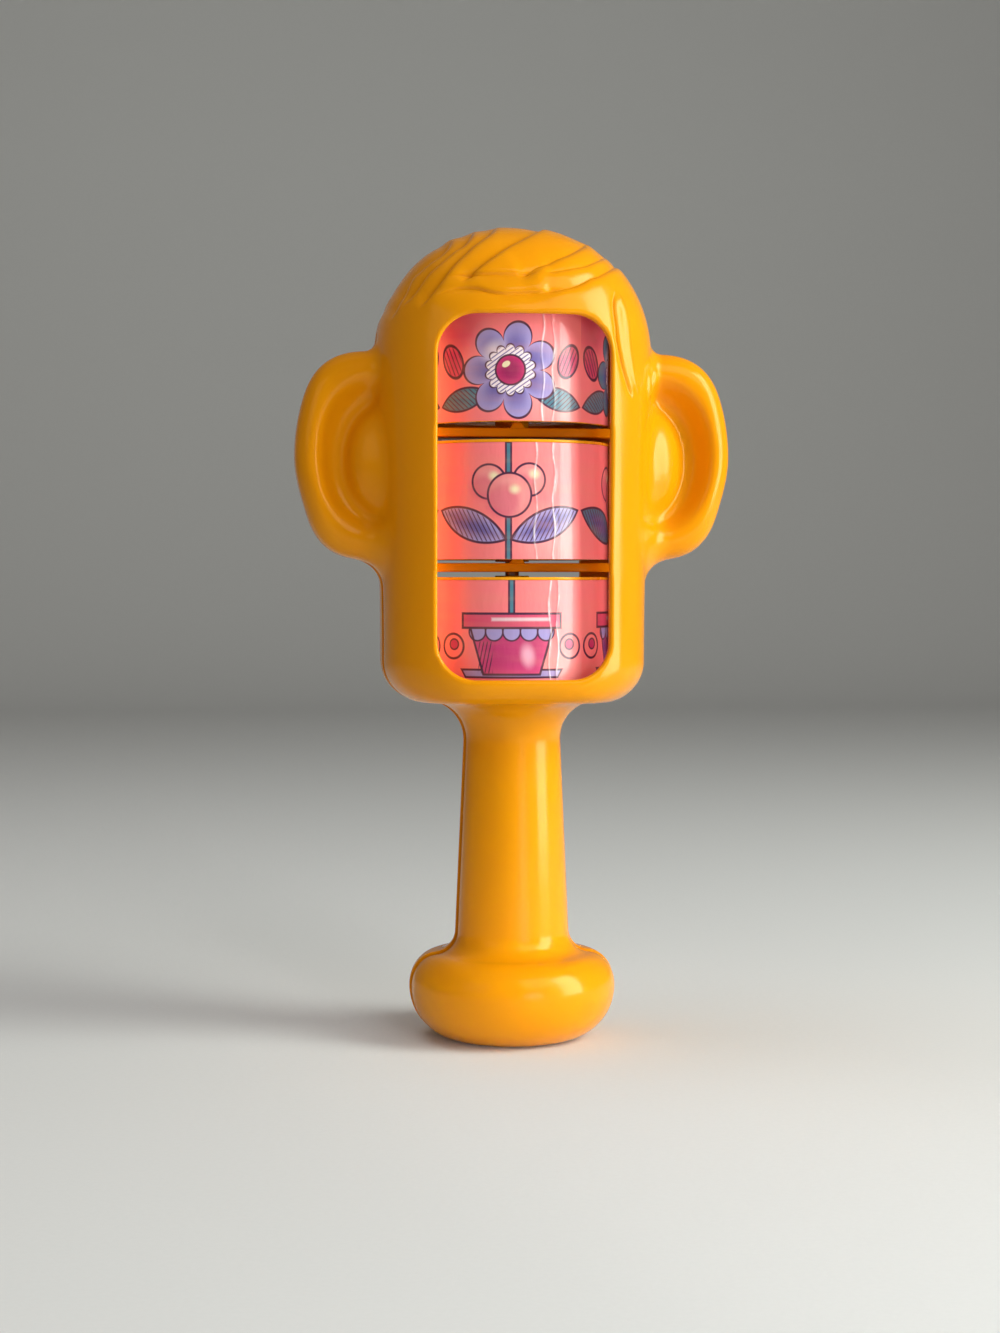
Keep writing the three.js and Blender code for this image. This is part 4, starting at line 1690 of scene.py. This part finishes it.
@dataclass
class Drum:
    """One drum: a turned cup with its lid, the printed label and three loose beads."""

    level: Level
    bottom: float
    height: float
    radius: float
    plastic: Material
    bead_plastic: Material
    picture_turn: float
    ragged: float = 0.0
    rim: float = 0.6
    recess: float = 0.4
    wall: float = 1.9
    cup_edge: float = 0.16
    lid_low: float = 1.5
    lid_high: float = 3.0
    lid_radius: float = 19.6
    lid_edge: float = 0.2
    hub: float = 3.3
    hub_lift: float = 0.2
    bore: float = 1.8
    boss: float = 3.7
    boss_drop: float = 0.4
    label_thickness: float = 0.3
    label_play: float = 0.05
    label_steps: int = 480
    label_levels: int = 28
    crease_width: float = 0.0025
    crease_lift: float = 0.1

    def add(self, part: str, shape: Shape, finish: Material, slot: str) -> None:
        """Put a part of the drum in the scene in place of its node.

        Args:
            part: Name of the part.
            shape: Its form, from the drum's bottom up.
            finish: Its material.
            slot: Its material slot.
        """
        move(shape, shape.verts, (0.0, 0.0, self.bottom))
        node = f"{self.level.value}_drum_{part}"
        body = self.level.beads if part.startswith("bead") else self.level.body
        add_piece(f"smooth_{node}", shape, finish, body, slot, node)

    def build(self) -> None:
        """Model the drum."""
        self.add("cup", turned(self.cup_profile(), edge=self.cup_edge), self.plastic, "drum_plastic")
        self.add("lid", turned(self.lid_profile(), edge=self.lid_edge), self.plastic, "drum_plastic")
        around = 2 * math.pi * self.radius
        printed = LabelPrint(self.level, self.picture_turn, around, self.height - self.rim)
        self.add("label", self.label(), printed.build(), "label_print")
        for count in (1, 2, 3):
            self.bead(count)

    def cup_profile(self) -> list[Spot]:
        """Corners of the cup's section: hub, top with a boss and a rim, wall set back for the label.

        Returns:
            Radius and height of each corner.
        """
        recess = self.radius - self.recess
        inner = recess - self.wall
        top = self.height
        boss_top = top + DRUM_BOSS_RISE
        ceiling = top - self.wall
        hub_low = self.lid_high + self.hub_lift
        return [(self.bore, boss_top), (self.boss, boss_top), (self.boss, top), (self.radius, top),
                (self.radius, top - self.rim), (recess, top - self.rim), (recess, 0.0),
                (self.lid_radius, 0.0), (self.lid_radius, self.lid_high), (inner, self.lid_high),
                (inner, ceiling), (self.hub, ceiling), (self.hub, hub_low), (self.bore, hub_low)]

    def lid_profile(self) -> list[Spot]:
        """Corners of the lid's section: a disc with a boss below."""
        return [(self.bore, -self.boss_drop), (self.boss, -self.boss_drop), (self.boss, self.lid_low),
                (self.lid_radius, self.lid_low), (self.lid_radius, self.lid_high),
                (self.bore, self.lid_high)]

    def label(self) -> Shape:
        """The label: a thin sleeve with raised creases and a worn lower edge, laid out for its print.

        Returns:
            The sleeve.
        """
        low = self.label_play
        high = self.height - self.rim - self.label_play
        inner = self.radius - self.recess + self.label_play
        outer = inner + self.label_thickness - self.crease_lift
        rise = (high - low) / self.label_levels
        profile = [(outer, low + rise * step) for step in range(self.label_levels + 1)]
        profile += [(inner, high), (inner, low)]
        shape = turned(profile, self.label_steps)
        for vertex in shape.verts:
            self.wear(vertex, (inner + outer) / 2, low + rise / 2)
        layer = shape.loops.layers.uv.new("UVMap")
        for face in shape.faces:
            middle = self.share_round(face.calc_center_median())
            for loop in face.loops:
                share = self.share_round(loop.vert.co)
                share += round(middle - share)
                loop[layer].uv = (share, (loop.vert.co.z / MM - low) / (high - low))
        return shape

    def wear(self, vertex: bmesh.types.BMVert, skin: float, edge: float) -> None:
        """Raise a label's vertex on a crease, and fray it on the lower edge.

        Args:
            vertex: The vertex.
            skin: Radius beyond which the label's outer face lies.
            edge: Height below which its lower edge lies.
        """
        share = self.share_round(vertex.co)
        radius = math.hypot(vertex.co.x, vertex.co.y) / MM
        up = vertex.co.z / MM
        lift = 0.0
        for crease in LABEL_CREASES[self.level]:
            gap = (share - crease.path(up)) / self.crease_width
            lift += self.crease_lift * crease.strength(up) * math.exp(-(gap**2))
        if radius > skin:
            vertex.co.xy *= 1.0 + min(lift, self.crease_lift) / radius
        if up < edge:
            torn = 0.5 + 0.5 * math.sin(97.0 * share) * math.sin(41.0 * share + 1.0)
            vertex.co.z += self.ragged * torn * MM

    @staticmethod
    def share_round(place_at: Vector) -> float:
        """Share of a turn at a place, one half at the front."""
        return (math.atan2(place_at.x, -place_at.y) / (2 * math.pi) + 0.5) % 1.0

    def bead(self, count: int) -> None:
        """One loose bead in the place of its node.

        Args:
            count: Number of the bead.
        """
        low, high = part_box(f"{self.level.value}_drum_bead_{count}")
        shape = bmesh.new()
        bmesh.ops.create_icosphere(shape, subdivisions=3, radius=(high.z - low.z) / 2)
        middle = (low + high) / 2 / MM
        move(shape, shape.verts, (middle.x, middle.y, middle.z - self.bottom))
        shade(shape)
        self.add(f"bead_{count}", shape, self.bead_plastic, "bead_plastic")


@dataclass
class Axle:
    """The steel rod through the drums and the boss that holds its upper end."""

    steel: Material
    plastic: Material
    edge: float = 0.3
    clearance: float = 0.1
    boss_radius: float = 4.2
    boss_bottom: float = 158.3
    boss_top: float = 173.0

    def build(self) -> None:
        """Model the rod and its boss."""
        low, high = (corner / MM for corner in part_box("axle"))
        shape = bmesh.new()
        bmesh.ops.create_cone(shape, cap_ends=True, segments=48, radius1=high.x * MM, radius2=high.x * MM,
                              depth=(high.z - low.z) * MM)
        move(shape, shape.verts, (0.0, 0.0, (low.z + high.z) / 2))
        rims = [edge for edge in shape.edges if abs(edge.verts[0].co.z - edge.verts[1].co.z) < 1e-6]
        round_edges(shape, rims, self.edge)
        shade(shape)
        add_piece("smooth_axle", shape, self.steel, Body.HOUSING, "axle_steel", "axle")
        clear = high.x + self.clearance
        section = [(clear, self.boss_bottom), (self.boss_radius, self.boss_bottom),
                   (self.boss_radius, self.boss_top), (clear, self.boss_top)]
        boss = turned(section, 48, self.edge)
        add_piece("axle_boss", boss, self.plastic, Body.HOUSING, "case_plastic",
                  "front_shell", "rear_shell")


@dataclass(frozen=True)
class Lamp:
    """A soft area lamp pointed at a spot, which gloss may mirror and whose light fans out by degrees."""

    name: str
    place_at: Place
    aim: Place
    size: Spot
    watts: float
    colour: Colour = (1.0, 1.0, 1.0)
    mirrored: bool = True
    fan: float = 180.0

    def build(self) -> None:
        """Put the lamp in the scene, out of the camera's sight."""
        data = bpy.data.lights.new(self.name, "AREA")
        data.shape = "RECTANGLE"
        data.size, data.size_y = self.size
        data.energy = self.watts
        data.color = self.colour
        data.spread = math.radians(self.fan)
        lamp = bpy.data.objects.new(self.name, data)
        lamp.visible_glossy = self.mirrored
        lamp.visible_camera = False
        lamp.location = self.place_at
        lamp.rotation_euler = (Vector(self.aim) - Vector(self.place_at)).to_track_quat("-Z", "Y").to_euler()
        bpy.context.scene.collection.objects.link(lamp)


# A large window-like key from the right with weaker fills, and two strips in the rooms beside the
# drums for the light that the real case's thin walls let in
LAMPS = (
    Lamp("key_window", (0.72, -0.35, 0.36), (0.0, 0.0, 0.10), (0.40, 0.8), 10.0, (0.97, 1.0, 0.93)),
    Lamp("front_window", (0.30, -0.62, 0.62), (0.0, 0.0, 0.10), (0.5, 0.5), 1.5),
    Lamp("low_window", (0.16, -0.48, 0.11), (0.0, 0.0, 0.06), (0.14, 0.10), 0.40, mirrored=False),
    Lamp("knob_light", (0.12, -0.42, 0.05), (0.0, 0.0, 0.010), (0.10, 0.06), 0.009, mirrored=False,
         fan=15.0),
    Lamp("top_fill", (-0.25, 0.05, 0.95), (0.0, 0.0, 0.10), (0.5, 0.5), 1.8, mirrored=False),
    Lamp("left_fill", (-0.8, -0.7, 0.5), (0.0, 0.0, 0.10), (0.6, 0.6), 0.9, (1.0, 0.82, 0.66)),
    Lamp("left_glow", (-0.0235, -0.012, 0.1155), (0.0, -0.012, 0.1155), (0.003, 0.076), 0.0037,
         (1.0, 0.60, 0.30), mirrored=False),
    Lamp("right_glow", (0.0235, -0.012, 0.1155), (0.0, -0.012, 0.1155), (0.003, 0.076), 0.0021,
         (1.0, 0.88, 0.90), mirrored=False),
)


@dataclass
class Studio:
    """Floor, lights and the camera at the photograph's viewing angle, in metres."""

    focal_pixels: float = 2250.0
    distance: float = 0.490
    eye_height: float = 0.1005
    azimuth: float = math.radians(-7.0)
    pitch: float = math.radians(-2.3)
    axis_column: float = 512.0
    floor_reach: float = 3.0
    sweep_start: float = 1.2
    sweep_radius: float = 0.5
    sweep_steps: int = 8
    world_colour: Colour = (1.0, 0.93, 0.86)
    world_strength: float = 0.14

    def build(self) -> None:
        """Set the stage."""
        self.floor()
        for lamp in LAMPS:
            lamp.build()
        self.world()
        self.camera()
        bpy.context.scene.view_settings.view_transform = "Standard"

    def floor(self) -> None:
        """A wide floor that sweeps up behind the object."""
        shape = bmesh.new()
        profile = [(-self.floor_reach, 0.0), (self.sweep_start, 0.0)]
        for step in range(1, self.sweep_steps + 1):
            angle = step / self.sweep_steps * math.pi / 2
            deep = self.sweep_start + self.sweep_radius * math.sin(angle)
            profile.append((deep, self.sweep_radius * (1.0 - math.cos(angle))))
        profile.append((self.sweep_start + self.sweep_radius, self.floor_reach))
        verts = [shape.verts.new((-self.floor_reach, deep, up)) for deep, up in profile]
        edges = [shape.edges.new(pair) for pair in zip(verts, verts[1:])]
        drawn = bmesh.ops.extrude_edge_only(shape, edges=edges)["geom"]
        moved = [item for item in drawn if isinstance(item, bmesh.types.BMVert)]
        bmesh.ops.translate(shape, vec=Vector((2 * self.floor_reach, 0.0, 0.0)), verts=moved)
        shade(shape)
        sweep = new_object("studio_floor", mesh_from("studio_floor", shape))
        sweep.data.materials.append(StudioPaper().build())

    def world(self) -> None:
        """Even dim light from all round."""
        world = bpy.data.worlds.new("studio_world")
        world.use_nodes = True
        background = world.node_tree.nodes["Background"]
        background.inputs[0].default_value = (*self.world_colour, 1.0)
        background.inputs[1].default_value = self.world_strength
        bpy.context.scene.world = world

    def camera(self) -> None:
        """Stand the camera where the photograph was taken from."""
        data = bpy.data.cameras.new("camera")
        data.sensor_fit = "AUTO"
        data.lens = self.focal_pixels * data.sensor_width / PICTURE_HEIGHT
        data.clip_start = 0.01
        camera = bpy.data.objects.new("camera", data)
        ahead = Vector((-math.sin(self.azimuth), math.cos(self.azimuth), 0.0))
        camera.location = -ahead * self.distance + Vector((0.0, 0.0, self.eye_height))
        turn = math.atan((self.axis_column - PICTURE_WIDTH / 2) / self.focal_pixels)
        ahead.rotate(Matrix.Rotation(turn, 3, "Z"))
        view = ahead * math.cos(self.pitch) + Vector((0.0, 0.0, math.sin(self.pitch)))
        camera.rotation_euler = view.to_track_quat("-Z", "Y").to_euler()
        bpy.context.scene.collection.objects.link(camera)
        bpy.context.scene.camera = camera


HAIR_ROOM = 0.35
PARTITION_BOTTOMS = {"lower_partition": 101.4, "upper_partition": 130.1}
PICTURE_TURNS = {Level.LOWER: -0.020, Level.MIDDLE: -0.025, Level.UPPER: -0.022}
LABEL_TEARS = {Level.LOWER: 0.0, Level.MIDDLE: 0.0, Level.UPPER: 0.15}


def main() -> None:
    """Load the frame, build every sub-assembly and log how many nodes the frame has."""
    logging.basicConfig(level=logging.INFO, format="%(name)s: %(message)s")
    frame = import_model()
    Studio().build()
    case_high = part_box("front_shell")[1] / MM
    stack_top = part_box("upper_drum_cup")[1].z / MM - DRUM_BOSS_RISE
    form = CaseForm(case_high.z - HAIR_ROOM, case_high.x, stack_top)
    case_gloss = MouldedPlastic("case_plastic_gloss", (0.78, 0.295, 0.002), (0.72, 0.25, 0.0015),
                                0.16, 0.06)
    drum_gloss = MouldedPlastic("drum_plastic_gloss", (0.88, 0.36, 0.01), (0.82, 0.31, 0.008),
                                0.24, 0.05)
    bead_gloss = MouldedPlastic("bead_plastic_gloss", (0.75, 0.70, 0.60), (0.68, 0.62, 0.52),
                                0.30, 0.0)
    yellow = case_gloss.build()
    Case(form, yellow).build()
    Axle(DrawnSteel().build(), yellow).build()
    for name, bottom in PARTITION_BOTTOMS.items():
        Partition(name, bottom, form, yellow).build()
    drum_yellow = drum_gloss.build()
    bead_white = bead_gloss.build()
    for level in Level:
        low, high = (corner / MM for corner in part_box(f"{level.value}_drum_cup"))
        height = high.z - low.z - DRUM_BOSS_RISE
        turn = PICTURE_TURNS[level]
        Drum(level, low.z, height, high.x, drum_yellow, bead_white, turn, LABEL_TEARS[level]).build()
    LOG.info("%d nodes in the frame", len(frame["nodes"]))


if __name__ == "__main__":
    main()
